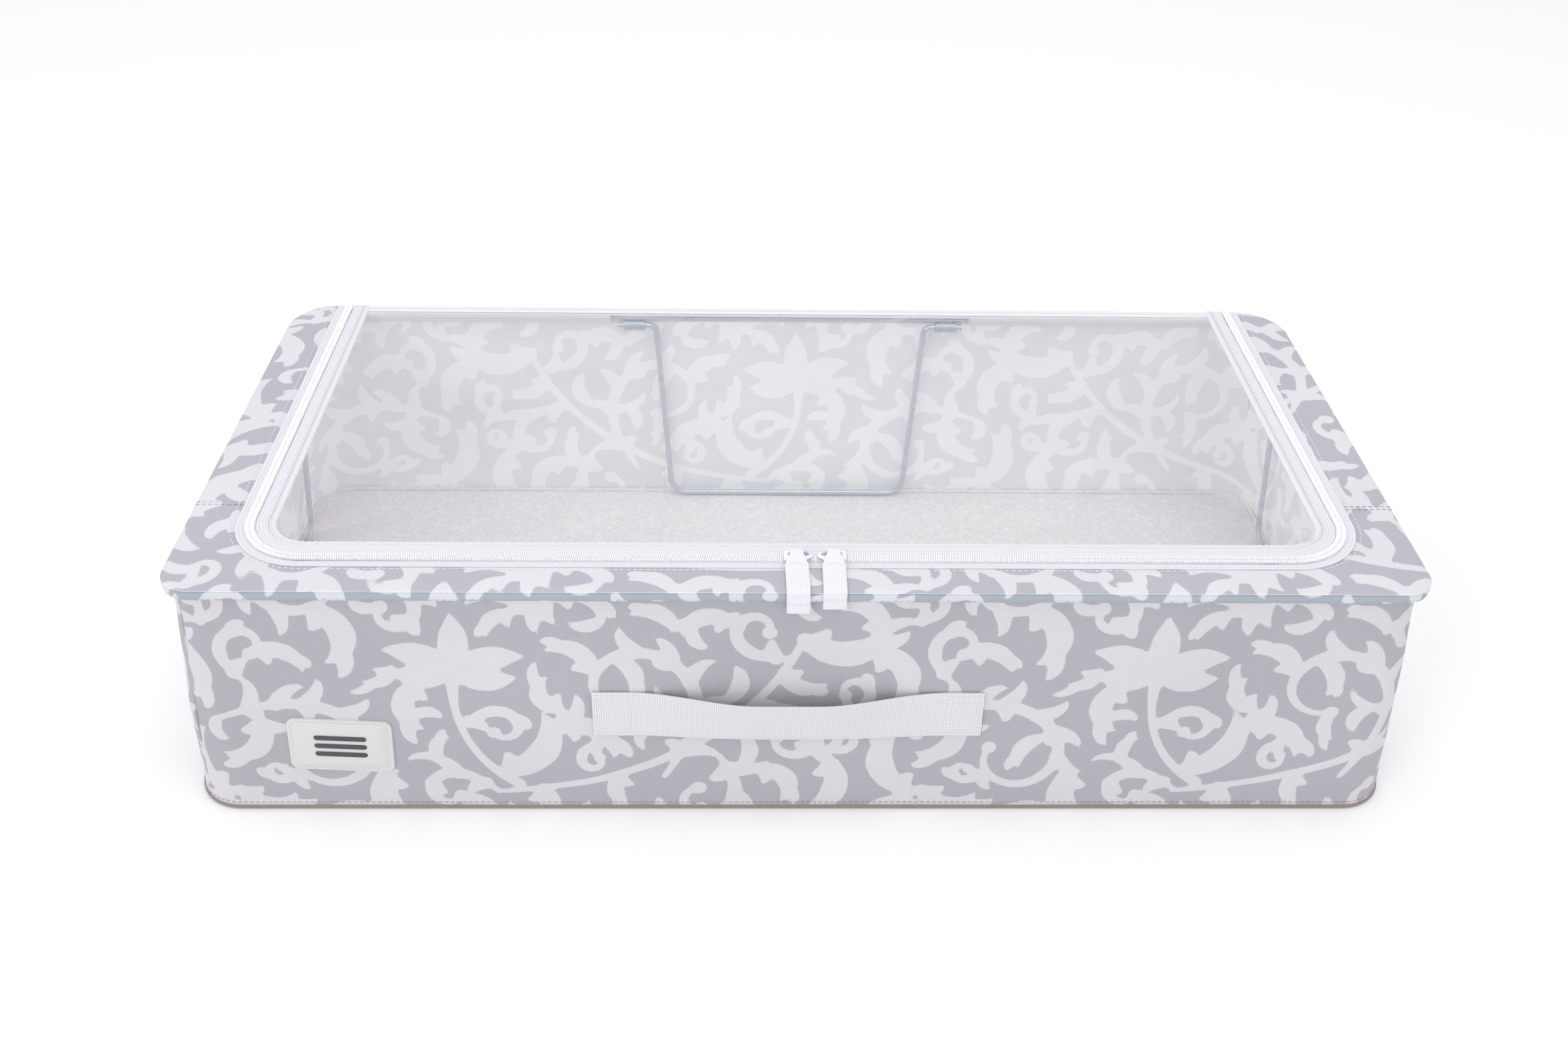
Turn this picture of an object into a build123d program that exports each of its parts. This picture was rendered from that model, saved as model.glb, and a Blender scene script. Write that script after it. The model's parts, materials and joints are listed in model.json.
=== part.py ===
from build123d import *
import os

# Under bed storage box: printed cloth walls held open by a sprung wire frame, with a
# clear lid that unzips on three sides and folds back along the rear top edge.
# Millimetres, +Z up, X along the long side, front at -Y.
# The origin is the middle of the base, on the floor that the box stands on.

# ---- overall sizes ----
box_length = 700.0
box_depth = 330.0
box_height = 163.0  # floor to the top of the cloth rim

# ---- cloth body ----
cloth = 1.2  # laminated cloth with its seam allowance
wall_inset = 3.0  # tops of the walls stand this far inside the hem
wall_front_corner_radius = 22.0  # top corners; the front ones are tighter than the back ones
wall_back_corner_radius = 38.0
base_spread_length = 9.0  # the stiff base stands out past the hem by this at each end
base_spread_depth = 2.0  # and by this at the front and back
base_corner_radius = 28.0
bottom_panel_thickness = 1.0
board_thickness = 3.0
board_gap = 0.8
lining_thickness = 1.5
seat_gap = 0.01  # between a sewn piece and the wall that it lies on

# ---- hem casing round the top, with the spring wire ring inside ----
hem_front_corner_radius = 18.0
hem_back_corner_radius = 30.0
hem_width = 9.6
hem_height = 7.7
hem_roll_radius = 3.0
ring_wire = 3.8
ring_inset = 5.0  # outer face of the hem to the middle of the ring wire
ring_drop = 4.6  # top of the hem to the middle of the ring wire
casing_clearance = 0.1
ferrule_diameter = 6.0
ferrule_length = 25.0
ferrule_along = 210.0

# ---- U shaped wire legs and the crimped sleeves that they turn in ----
leg_wire = 4.0
leg_bend_radius = 6.0
rail_bend_radius = 12.0
end_to_leg_taper = 8.0  # the rail is narrower than the top by this much on each side
long_side_leg_half = 96.0
short_side_leg_half = 110.0
sleeve_diameter = 7.0
sleeve_length = 15.0
sleeve_start = 2.0  # past the end of the bend
stub_past_sleeve = 4.0
hinge_clearance = 0.08
weld_gap = 0.01
weld_length = 9.0
weld_width = 2.6
rail_clearance = 0.3
foot_to_wall = 6.5  # inside of the wall to the middle of the rail

# ---- rim and zip ----
rim_side_width = 28.0
rim_front_width = 22.0
rim_seam_from_front = 85.0
zip_corner_radius = 45.0
outer_tape_width = 5.0
inner_tape_width = 7.0
coil_width = 2.6
coil_gap = 1.2  # the slider's neck runs between the two coils
tape_thickness = 0.8
coil_rise = 1.0  # above the rim's top
binding_width = 4.5
binding_rise = 0.2
window_thickness = 0.5
lid_clearance = 0.3
back_binding_width = 8.0
hinge_overhang = 0.3

# ---- sliders and their tape tabs ----
slider_positions = {"left": -1.8, "right": 17.0}
slider_noses = {"left": 1, "right": -1}  # they face each other, nose to nose
slider_length = 16.0
slider_shoulder = 9.6  # width over the shoulders, behind the nose
slider_tail = 9.0
slider_nose = 3.0
plate_thickness = 1.2
flange_thickness = 0.8
flange_length = 7.0
slide_clearance = 0.3
neck_thickness = 0.6
neck_length = 6.0
bridge_bar = 1.6
bridge_span = 10.6
bridge_post = 1.6
pin_clearance = 0.08
tab_eye_wall = 0.8
tab_eye_length = 7.0
tab_width = 13.0
tab_thickness = 1.0
tab_clearance = 0.4
tab_offsets = {"left": -0.9, "right": 0.9}  # each tab has slid along its bridge
tab_hang = 11.0
tab_taper_run = 8.0  # from the bridge to the full width
tab_step_run = 11.0  # from the bridge to where the tab lies on the rim
tab_soft_bend = 3.0
tab_edge_bend = 1.2

# ---- handle and label on the front wall ----
strap_width = 32.0
strap_thickness = 1.8
strap_length = 224.0
strap_centre_x = -6.3
strap_height = 73.0
strap_sewn_end = 24.0
strap_rise_run = 26.0
strap_bow = 12.0
strap_bend_radius = 18.0
label_width = 60.0
label_height = 38.0
label_thickness = 1.6
label_corner = 5.0
label_x = -265.0
label_z = 47.5
label_tilt = 3.0
emblem_bar = 3.2
emblem_pitch = 6.0
emblem_rise = 0.5

# ---- places worked out from them ----
half_length = box_length / 2
half_depth = box_depth / 2
rim_bottom = box_height - cloth
hem_bottom = rim_bottom - hem_height
ring_height = rim_bottom - ring_drop
wall_bottom = bottom_panel_thickness
wall_height = hem_bottom - wall_bottom
board_bottom = bottom_panel_thickness
lining_bottom = board_bottom + board_thickness
floor_top = lining_bottom + lining_thickness

sleeve_offset = (ring_wire + sleeve_diameter) / 2 * 0.7071  # the sleeve sits at 45 degrees
hinge_inset = ring_inset + sleeve_offset
hinge_height = ring_height - sleeve_offset
rail_height = floor_top + rail_clearance + leg_wire / 2
leg_drop = hinge_height - rail_height
stub_length = leg_bend_radius + sleeve_start + sleeve_length + stub_past_sleeve
sleeve_middle = leg_bend_radius + sleeve_start + sleeve_length / 2

lid_bottom = rim_bottom + lid_clearance
lid_hinge_y = half_depth + hinge_overhang
coil_top = box_height + coil_rise
inner_coil_inset = outer_tape_width + coil_width + coil_gap
inner_tape_inset = inner_coil_inset + coil_width
binding_inset = inner_tape_inset + inner_tape_width
window_inset = binding_inset + binding_width
zip_centre_y = -(half_depth - rim_front_width - inner_coil_inset + coil_gap / 2)

os.makedirs("parts", exist_ok=True)


# ---- plans shared by several pieces ----
def rounded_plan(inset, front_radius, back_radius):
    """The plan of the box, drawn in by inset, with its own front and back corner radii."""
    with BuildSketch() as plan:
        Rectangle(box_length - 2 * inset, box_depth - 2 * inset)
        fillet(plan.vertices().group_by(Axis.Y)[0], radius=front_radius)
        fillet(plan.vertices().group_by(Axis.Y)[-1], radius=back_radius)
    return plan.sketch


def base_plan(inset):
    """The plan of the base, which stands out past the hem, drawn in by inset."""
    with BuildSketch() as plan:
        RectangleRounded(
            box_length + 2 * (base_spread_length - inset),
            box_depth + 2 * (base_spread_depth - inset),
            base_corner_radius - inset,
        )
    return plan.sketch


def outline_plan(*points):
    """A plain polygon in plan."""
    with BuildSketch() as plan:
        with BuildLine():
            Polyline(*points, close=True)
        make_face()
    return plan.sketch


def opening_plan(inset, back_y):
    """The zipped opening drawn in by inset: round front corners, straight to back_y."""
    side_x = half_length - rim_side_width - inset
    front_y = -(half_depth - rim_front_width - inset)
    with BuildSketch() as plan:
        with BuildLine():
            Polyline(
                (-side_x, front_y), (side_x, front_y), (side_x, back_y), (-side_x, back_y), close=True
            )
        make_face()
        fillet(plan.vertices().group_by(Axis.Y)[0], radius=zip_corner_radius - inset)
    return plan.sketch


hem_plan = rounded_plan(0, hem_front_corner_radius, hem_back_corner_radius)
hem_hole_plan = rounded_plan(
    hem_width, hem_front_corner_radius - hem_width, hem_back_corner_radius - hem_width
)
wall_top_plan = rounded_plan(wall_inset, wall_front_corner_radius, wall_back_corner_radius)
wall_top_hole_plan = rounded_plan(
    wall_inset + cloth, wall_front_corner_radius - cloth, wall_back_corner_radius - cloth
)
wall_base_plan = base_plan(0)
wall_base_hole_plan = base_plan(cloth)
floor_plan = base_plan(cloth + board_gap)
ring_plan = rounded_plan(
    ring_inset, hem_front_corner_radius - ring_inset, hem_back_corner_radius - ring_inset
)

# Panels meet in mitred seams at the middle of each corner.
meet_x = half_length - half_depth
past = 15.0  # plans used for cutting reach this far past the box
reach_x = half_length + past
reach_y = half_depth + past
side_plans = {
    "front": outline_plan((-reach_x, -reach_y), (reach_x, -reach_y), (meet_x, 0), (-meet_x, 0)),
    "back": outline_plan((-reach_x, reach_y), (reach_x, reach_y), (meet_x, 0), (-meet_x, 0)),
    "left": outline_plan((-reach_x, -reach_y), (-reach_x, reach_y), (-meet_x, 0)),
    "right": outline_plan((reach_x, -reach_y), (reach_x, reach_y), (meet_x, 0)),
}

# Each side has its own plane: X along the side, Y into the box, Z up.
side_planes = {
    "front": Plane(origin=(0, -half_depth, 0), x_dir=(1, 0, 0), z_dir=(0, 0, 1)),
    "back": Plane(origin=(0, half_depth, 0), x_dir=(-1, 0, 0), z_dir=(0, 0, 1)),
    "left": Plane(origin=(-half_length, 0, 0), x_dir=(0, -1, 0), z_dir=(0, 0, 1)),
    "right": Plane(origin=(half_length, 0, 0), x_dir=(0, 1, 0), z_dir=(0, 0, 1)),
}
side_spreads = {
    "front": base_spread_depth,
    "back": base_spread_depth,
    "left": base_spread_length,
    "right": base_spread_length,
}
leg_halves = {
    "front": long_side_leg_half,
    "back": long_side_leg_half,
    "left": short_side_leg_half,
    "right": short_side_leg_half,
}

# ---- base ----
with BuildPart() as bottom_panel:
    with BuildSketch(Plane.XY):
        add(wall_base_plan)
    extrude(amount=bottom_panel_thickness)
bottom_panel.part.label = "bottom_panel"
export_step(bottom_panel.part, "parts/bottom_panel.step")

with BuildPart() as base_board:
    with BuildSketch(Plane.XY.offset(board_bottom)):
        add(floor_plan)
    extrude(amount=board_thickness)
base_board.part.label = "base_board"
export_step(base_board.part, "parts/base_board.step")

with BuildPart() as base_lining:
    with BuildSketch(Plane.XY.offset(lining_bottom)):
        add(floor_plan)
    extrude(amount=lining_thickness)
base_lining.part.label = "base_lining"
export_step(base_lining.part, "parts/base_lining.step")

# ---- walls: one panel to a side, leaning in from the base to the hem ----
with BuildPart() as wall_loop:
    with BuildSketch(Plane.XY.offset(wall_bottom)):
        add(wall_base_plan)
    with BuildSketch(Plane.XY.offset(hem_bottom)):
        add(wall_top_plan)
    loft(ruled=True)
    with BuildSketch(Plane.XY.offset(wall_bottom)):
        add(wall_base_hole_plan)
    with BuildSketch(Plane.XY.offset(hem_bottom)):
        add(wall_top_hole_plan)
    loft(ruled=True, mode=Mode.SUBTRACT)

for side, side_plan in side_plans.items():
    with BuildPart() as wall:
        add(wall_loop.part)
        with BuildSketch(Plane.XY):
            add(side_plan)
        extrude(amount=box_height, mode=Mode.INTERSECT)
    wall.part.label = f"wall_{side}"
    export_step(wall.part, f"parts/wall_{side}.step")

# ---- spring wire ring, closed by a crimped ferrule ----
ring_path = ring_plan.face().outer_wire().moved(Location((0, 0, ring_height)))
with BuildPart() as ring:
    with BuildSketch(Plane(origin=ring_path @ 0, z_dir=ring_path % 0)):
        Circle(ring_wire / 2)
    sweep(path=ring_path)
ring.part.label = "ring_wire"
export_step(ring.part, "parts/ring_wire.step")

with BuildPart(side_planes["back"]) as ferrule:
    with Locations((-ferrule_along, ring_inset, ring_height)):
        Cylinder(ferrule_diameter / 2, ferrule_length, rotation=(0, 90, 0))
        Cylinder(ring_wire / 2, ferrule_length, rotation=(0, 90, 0), mode=Mode.SUBTRACT)
ferrule.part.label = "ring_ferrule"
export_step(ferrule.part, "parts/ring_ferrule.step")

# ---- hem casing: a rolled tube of cloth, open underneath where the legs turn ----
with BuildPart() as hem_loop:
    with BuildSketch(Plane.XY.offset(hem_bottom)):
        add(hem_plan)
        add(hem_hole_plan, mode=Mode.SUBTRACT)
    extrude(amount=hem_height)
    fillet(hem_loop.faces().sort_by(Axis.Z)[0].outer_wire().edges(), radius=hem_roll_radius)
    with BuildSketch(Plane(origin=ring_path @ 0, z_dir=ring_path % 0)):
        Circle(ring_wire / 2 + casing_clearance)
    sweep(path=ring_path, mode=Mode.SUBTRACT)

casing_gap_depth = hem_width - ring_inset + past
casing_gap_height = ring_height + ring_wire / 2 + casing_clearance - hem_bottom + past
for side, side_plan in side_plans.items():
    casing_gap_length = 2 * (leg_halves[side] + stub_length + stub_past_sleeve)
    with BuildPart(side_planes[side]) as casing_gap:
        with Locations((0, ring_inset, hem_bottom - past)):
            Box(
                casing_gap_length,
                casing_gap_depth,
                casing_gap_height,
                align=(Align.CENTER, Align.MIN, Align.MIN),
            )
    with BuildPart() as hem:
        add(hem_loop.part)
        with BuildSketch(Plane.XY):
            add(side_plan)
        extrude(amount=box_height, mode=Mode.INTERSECT)
        add(casing_gap.part, mode=Mode.SUBTRACT)
        if side == "back":
            with Locations(side_planes["back"].from_local_coords((-ferrule_along, ring_inset, ring_height))):
                Cylinder(
                    ferrule_diameter / 2 + casing_clearance,
                    ferrule_length + 2 * casing_clearance,
                    rotation=(0, 90, 0),
                    mode=Mode.SUBTRACT,
                )
    hem.part.label = f"hem_{side}"
    export_step(hem.part, f"parts/hem_{side}.step")

# ---- wire legs and their sleeves ----
for side, side_plane in side_planes.items():
    top_half = leg_halves[side]
    rail_half = top_half - end_to_leg_taper
    # The legs lean out with the wall behind them.
    wall_lean = (side_spreads[side] + wall_inset) / wall_height
    foot_lean = hinge_inset + side_spreads[side] - cloth - foot_to_wall - wall_lean * rail_height
    slant = foot_lean * side_plane.y_dir + leg_drop * side_plane.z_dir
    leg_plane = Plane(
        origin=side_plane.from_local_coords((0, hinge_inset, hinge_height)),
        x_dir=side_plane.x_dir,
        z_dir=side_plane.x_dir.cross(slant),
    )
    with BuildPart() as leg:
        with BuildLine(leg_plane) as leg_path:
            FilletPolyline(
                (-top_half - stub_length, 0),
                (-top_half, 0),
                (-rail_half, -slant.length),
                (rail_half, -slant.length),
                (top_half, 0),
                (top_half + stub_length, 0),
                radius=[leg_bend_radius, rail_bend_radius, rail_bend_radius, leg_bend_radius],
            )
        with BuildSketch(Plane(origin=leg_path.line @ 0, z_dir=leg_path.line % 0)):
            Circle(leg_wire / 2)
        sweep()
    leg.part.label = f"leg_{side}"
    export_step(leg.part, f"parts/leg_{side}.step")

    sleeve_x = top_half + sleeve_middle
    with BuildPart(side_plane) as sleeves:
        with Locations((-sleeve_x, hinge_inset, hinge_height), (sleeve_x, hinge_inset, hinge_height)):
            Cylinder(sleeve_diameter / 2, sleeve_length, rotation=(0, 90, 0))
        weld_inset = (hinge_inset + ring_inset) / 2
        weld_height = (hinge_height + ring_height) / 2
        with Locations((-sleeve_x, weld_inset, weld_height), (sleeve_x, weld_inset, weld_height)):
            Box(weld_length, weld_width, (ring_wire + sleeve_diameter) / 2, rotation=(45, 0, 0))
        with Locations((-sleeve_x, ring_inset, ring_height), (sleeve_x, ring_inset, ring_height)):
            Cylinder(
                ring_wire / 2 + weld_gap, sleeve_length, rotation=(0, 90, 0), mode=Mode.SUBTRACT
            )
        with Locations((-sleeve_x, hinge_inset, hinge_height), (sleeve_x, hinge_inset, hinge_height)):
            Cylinder(
                leg_wire / 2 + hinge_clearance, sleeve_length, rotation=(0, 90, 0), mode=Mode.SUBTRACT
            )
    sleeves.part.label = f"sleeves_{side}"
    export_step(sleeves.part, f"parts/sleeves_{side}.step")

# ---- cloth rim on top: a U shaped front piece and two straight side strips ----
rim_seam_y = -half_depth + rim_seam_from_front
rim_plans = {
    "front": outline_plan(
        (-reach_x, -reach_y), (reach_x, -reach_y), (reach_x, rim_seam_y), (-reach_x, rim_seam_y)
    ),
    "left": outline_plan((-reach_x, rim_seam_y), (0, rim_seam_y), (0, reach_y), (-reach_x, reach_y)),
    "right": outline_plan((reach_x, rim_seam_y), (0, rim_seam_y), (0, reach_y), (reach_x, reach_y)),
}
rim_hole_plan = opening_plan(0, reach_y)
for side, side_plan in rim_plans.items():
    with BuildPart() as rim:
        with BuildSketch(Plane.XY.offset(rim_bottom)):
            add(hem_plan)
            add(rim_hole_plan, mode=Mode.SUBTRACT)
            add(side_plan, mode=Mode.INTERSECT)
        extrude(amount=cloth)
    rim.part.label = f"rim_{side}"
    export_step(rim.part, f"parts/rim_{side}.step")


# ---- zip: two tapes and two coils that follow the opening ----
def band(outer_inset, inner_inset, back_y, bottom, top):
    """A strip that follows the opening on three sides, between two insets."""
    outer_plan = opening_plan(outer_inset, back_y)
    inner_plan = opening_plan(inner_inset, back_y)
    with BuildPart() as strip:
        with BuildSketch(Plane.XY.offset(bottom)):
            add(outer_plan)
            add(inner_plan, mode=Mode.SUBTRACT)
        extrude(amount=top - bottom)
    return strip


outer_tape = band(0, outer_tape_width, half_depth, rim_bottom, rim_bottom + tape_thickness)
outer_tape.part.label = "zip_tape_outer"
export_step(outer_tape.part, "parts/zip_tape_outer.step")

outer_coil = band(
    outer_tape_width, outer_tape_width + coil_width, half_depth, rim_bottom, coil_top
)
outer_coil.part.label = "zip_coil_outer"
export_step(outer_coil.part, "parts/zip_coil_outer.step")

inner_coil = band(inner_coil_inset, inner_tape_inset, lid_hinge_y, lid_bottom, coil_top)
inner_coil.part.label = "zip_coil_inner"
export_step(inner_coil.part, "parts/zip_coil_inner.step")

inner_tape = band(
    inner_tape_inset, binding_inset, lid_hinge_y, lid_bottom, lid_bottom + tape_thickness
)
inner_tape.part.label = "zip_tape_inner"
export_step(inner_tape.part, "parts/zip_tape_inner.step")

# ---- clear window with its sewn binding ----
window_binding = band(
    binding_inset, window_inset, lid_hinge_y, lid_bottom, box_height + binding_rise
)
window_binding.part.label = "window_binding"
export_step(window_binding.part, "parts/window_binding.step")

window_plan = opening_plan(window_inset, lid_hinge_y - back_binding_width)
with BuildPart() as window_sheet:
    with BuildSketch(Plane.XY.offset(lid_bottom)):
        add(window_plan)
    extrude(amount=window_thickness)
window_sheet.part.label = "window_sheet"
export_step(window_sheet.part, "parts/window_sheet.step")

with BuildPart() as back_binding:
    with BuildSketch(Plane.XY.offset(lid_bottom)):
        with Locations((0, lid_hinge_y)):
            Rectangle(
                2 * (half_length - rim_side_width - window_inset),
                back_binding_width,
                align=(Align.CENTER, Align.MAX),
            )
    extrude(amount=box_height + binding_rise - lid_bottom)
back_binding.part.label = "window_back_binding"
export_step(back_binding.part, "parts/window_back_binding.step")

# ---- sliders, each with a bridge that a tape tab is looped round ----
plate_bottom = coil_top + slide_clearance
plate_top = plate_bottom + plate_thickness
flange_bottom = lid_bottom + tape_thickness + slide_clearance
flange_pitch = coil_gap + 2 * (coil_width + slide_clearance) + flange_thickness
lower_plate_top = lid_bottom - slide_clearance
lower_plate_bottom = lower_plate_top - plate_thickness
tab_eye_radius = bridge_bar / 2 + pin_clearance + tab_eye_wall
pivot_height = plate_top + tab_eye_radius + slide_clearance
tab_path_height = box_height + tab_clearance + tab_thickness / 2
tab_path_front = -half_depth - tab_clearance - tab_thickness / 2
for side, slider_x in slider_positions.items():
    # X runs towards the nose, Z up.
    nose = slider_noses[side]
    slider_plane = Plane(origin=(slider_x, zip_centre_y, 0), x_dir=(nose, 0, 0), z_dir=(0, 0, 1))
    with BuildSketch() as plate_plan:
        with BuildLine():
            Polyline(
                (-slider_length / 2, -slider_tail / 2),
                (slider_length / 8, -slider_shoulder / 2),
                (slider_length / 2, -slider_nose / 2),
                (slider_length / 2, slider_nose / 2),
                (slider_length / 8, slider_shoulder / 2),
                (-slider_length / 2, slider_tail / 2),
                close=True,
            )
        make_face()
        fillet(plate_plan.vertices(), radius=slider_nose / 3)
    # The lower plate only reaches under the lid's own tape, so that the lid can lift.
    with BuildSketch() as lower_plan:
        add(plate_plan.sketch)
        with Locations((0, nose * (slider_shoulder - neck_thickness / 2))):
            Rectangle(2 * slider_length, 2 * slider_shoulder, mode=Mode.INTERSECT)
    with BuildPart() as slider:
        with BuildSketch(slider_plane.offset(plate_bottom)):
            add(plate_plan.sketch)
        extrude(amount=plate_thickness)
        with BuildSketch(slider_plane.offset(lower_plate_bottom)):
            add(lower_plan.sketch)
        extrude(amount=plate_thickness)
        with BuildSketch(slider_plane.offset(lower_plate_top)):
            Rectangle(neck_length, neck_thickness)
        extrude(amount=plate_bottom - lower_plate_top)
        with BuildSketch(slider_plane.offset(flange_bottom)):
            with GridLocations(0, flange_pitch, 1, 2):
                Rectangle(flange_length, flange_thickness)
        extrude(amount=plate_bottom - flange_bottom)
    slider.part.label = f"slider_{side}"
    export_step(slider.part, f"parts/slider_{side}.step")

    with BuildPart(slider_plane) as bridge:
        with Locations((0, 0, plate_top)):
            with GridLocations(bridge_span, 0, 2, 1):
                Box(
                    bridge_post,
                    bridge_bar,
                    pivot_height - plate_top + bridge_bar / 2,
                    align=(Align.CENTER, Align.CENTER, Align.MIN),
                )
        with Locations((0, 0, pivot_height)):
            Cylinder(bridge_bar / 2, bridge_span, rotation=(0, 90, 0))
    bridge.part.label = f"slider_bridge_{side}"
    export_step(bridge.part, f"parts/slider_bridge_{side}.step")

    # The tab turns round the bridge, lies on the rim and hangs over the front hem.
    tab_x = slider_x + tab_offsets[side]
    tab_plan = outline_plan(
        (tab_x - tab_eye_length / 2, zip_centre_y + slider_tail),
        (tab_x - tab_eye_length / 2, zip_centre_y - tab_eye_radius),
        (tab_x - tab_width / 2, zip_centre_y - tab_taper_run),
        (tab_x - tab_width / 2, -reach_y),
        (tab_x + tab_width / 2, -reach_y),
        (tab_x + tab_width / 2, zip_centre_y - tab_taper_run),
        (tab_x + tab_eye_length / 2, zip_centre_y - tab_eye_radius),
        (tab_x + tab_eye_length / 2, zip_centre_y + slider_tail),
    )
    with BuildPart() as tab:
        with BuildLine(Plane.YZ.offset(tab_x)) as tab_path:
            FilletPolyline(
                (zip_centre_y, pivot_height),
                (zip_centre_y - tab_step_run / 2, pivot_height - tab_thickness / 4),
                (zip_centre_y - tab_step_run, tab_path_height),
                (tab_path_front, tab_path_height),
                (tab_path_front, box_height - tab_hang),
                radius=[tab_soft_bend, tab_soft_bend, tab_edge_bend],
            )
        with BuildSketch(
            Plane(origin=tab_path.line @ 0, x_dir=(1, 0, 0), z_dir=tab_path.line % 0)
        ):
            Rectangle(tab_width, tab_thickness)
        sweep()
        with BuildSketch(Plane.XY.offset(hem_bottom - tab_hang)):
            add(tab_plan)
        extrude(amount=2 * box_height, mode=Mode.INTERSECT)
        with Locations((tab_x, zip_centre_y, pivot_height)):
            Cylinder(tab_eye_radius, tab_eye_length, rotation=(0, 90, 0))
            Cylinder(
                bridge_bar / 2 + pin_clearance, tab_width, rotation=(0, 90, 0), mode=Mode.SUBTRACT
            )
    tab.part.label = f"pull_tab_{side}"
    export_step(tab.part, f"parts/pull_tab_{side}.step")

# ---- the outer face of the front wall: X along it, Y up it, Z out of it ----
front_foot_y = -(half_depth + base_spread_depth)
front_top_y = -(half_depth - wall_inset)
front_face = Plane(
    origin=(0, front_foot_y - seat_gap, wall_bottom),
    x_dir=(1, 0, 0),
    z_dir=(0, -wall_height, front_top_y - front_foot_y),
)

# ---- webbing handle, sewn flat at both ends and slack between ----
strap_half = strap_length / 2
rise_end = strap_half - strap_sewn_end - strap_rise_run
strap_plane = Plane(
    origin=front_face.from_local_coords((strap_centre_x, strap_height, strap_thickness / 2)),
    x_dir=(1, 0, 0),
    z_dir=-front_face.y_dir,
)
with BuildPart() as handle_strap:
    with BuildLine(strap_plane) as strap_path:
        FilletPolyline(
            (-strap_half, 0),
            (strap_sewn_end - strap_half, 0),
            (-rise_end, strap_bow),
            (rise_end, strap_bow),
            (strap_half - strap_sewn_end, 0),
            (strap_half, 0),
            radius=strap_bend_radius,
        )
    with BuildSketch(
        Plane(origin=strap_path.line @ 0, x_dir=strap_plane.z_dir, z_dir=strap_path.line % 0)
    ):
        Rectangle(strap_width, strap_thickness)
    sweep()
handle_strap.part.label = "handle_strap"
export_step(handle_strap.part, "parts/handle_strap.step")

# ---- soft moulded label patch with a plain raised mark ----
label_plane = Plane(
    origin=front_face.from_local_coords((label_x, label_z)),
    x_dir=front_face.x_dir.rotate(Axis((0, 0, 0), front_face.z_dir), -label_tilt),
    z_dir=front_face.z_dir,
)
with BuildPart() as label_patch:
    with BuildSketch(label_plane):
        RectangleRounded(label_width, label_height, label_corner)
    extrude(amount=label_thickness)
label_patch.part.label = "label_patch"
export_step(label_patch.part, "parts/label_patch.step")

with BuildPart() as label_emblem:
    with BuildSketch(label_plane.offset(label_thickness)):
        with GridLocations(0, emblem_pitch, 1, 3):
            SlotOverall(label_width / 2, emblem_bar)
    extrude(amount=emblem_rise)
label_emblem.part.label = "label_emblem"
export_step(label_emblem.part, "parts/label_emblem.step")
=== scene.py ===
import json
import math
import random

import bmesh
import bpy
import numpy as np
from mathutils import Matrix, Vector
from bpy.props import FloatProperty, FloatVectorProperty, PointerProperty


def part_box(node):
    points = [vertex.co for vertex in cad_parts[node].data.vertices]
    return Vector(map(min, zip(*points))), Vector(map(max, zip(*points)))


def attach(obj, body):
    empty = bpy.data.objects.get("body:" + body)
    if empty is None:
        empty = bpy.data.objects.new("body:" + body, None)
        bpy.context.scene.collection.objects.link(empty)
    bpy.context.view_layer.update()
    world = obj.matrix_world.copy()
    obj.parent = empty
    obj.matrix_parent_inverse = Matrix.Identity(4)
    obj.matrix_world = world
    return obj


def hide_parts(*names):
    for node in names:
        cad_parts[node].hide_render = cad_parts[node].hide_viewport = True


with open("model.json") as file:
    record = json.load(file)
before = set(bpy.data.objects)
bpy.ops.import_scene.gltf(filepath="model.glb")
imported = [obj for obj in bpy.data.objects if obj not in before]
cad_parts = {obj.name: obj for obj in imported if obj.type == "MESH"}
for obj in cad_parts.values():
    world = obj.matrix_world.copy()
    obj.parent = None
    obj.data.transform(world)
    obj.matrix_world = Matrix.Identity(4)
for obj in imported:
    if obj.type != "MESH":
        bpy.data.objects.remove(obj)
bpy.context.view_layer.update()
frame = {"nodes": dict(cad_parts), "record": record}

bl_info = {
    "name": "Under Bed Box",
    "version": (1, 0, 0),
    "blender": (4, 5, 0),
    "location": "View3D > Sidebar > Under Bed Box",
    "description": "Dresses the packed under bed storage box in its cloth, zip, clear lid and trim",
    "category": "Object",
}

# ---------------------------------------------------------------- places, in millimetres
MM = 0.001


def span(node):
    """Lowest and highest corner of a CAD node, in millimetres."""
    low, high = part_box(node)
    return np.array(low) / MM, np.array(high) / MM


BODY_OF = {
    node: body for body, nodes in frame["record"]["behaviour"]["bodies"].items() for node in nodes
}
ROOT = BODY_OF.get("wall_front", "root")

BASE_HALF = span("bottom_panel")[1][:2]
BASE_TOP = span("bottom_panel")[1][2]
HEM_HALF = np.array([span("hem_right")[1][0], span("hem_back")[1][1]])
HEM_BOTTOM, HEM_TOP = span("hem_front")[0][2], span("hem_front")[1][2]
RIM_TOP = span("rim_front")[1][2]
FLOOR_TOP = span("base_lining")[1][2]
LINING_BOTTOM = span("base_lining")[0][2]
OPENING_X = span("zip_tape_outer")[1][0]
OPENING_FRONT = span("zip_tape_outer")[0][1]
ROOT_ZIP_BACK = span("zip_tape_outer")[1][1]
LID_BACK = span("window_back_binding")[1][1]
RIM_SEAM = span("rim_front")[1][1]
HEM_HEIGHT = HEM_TOP - HEM_BOTTOM
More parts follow.
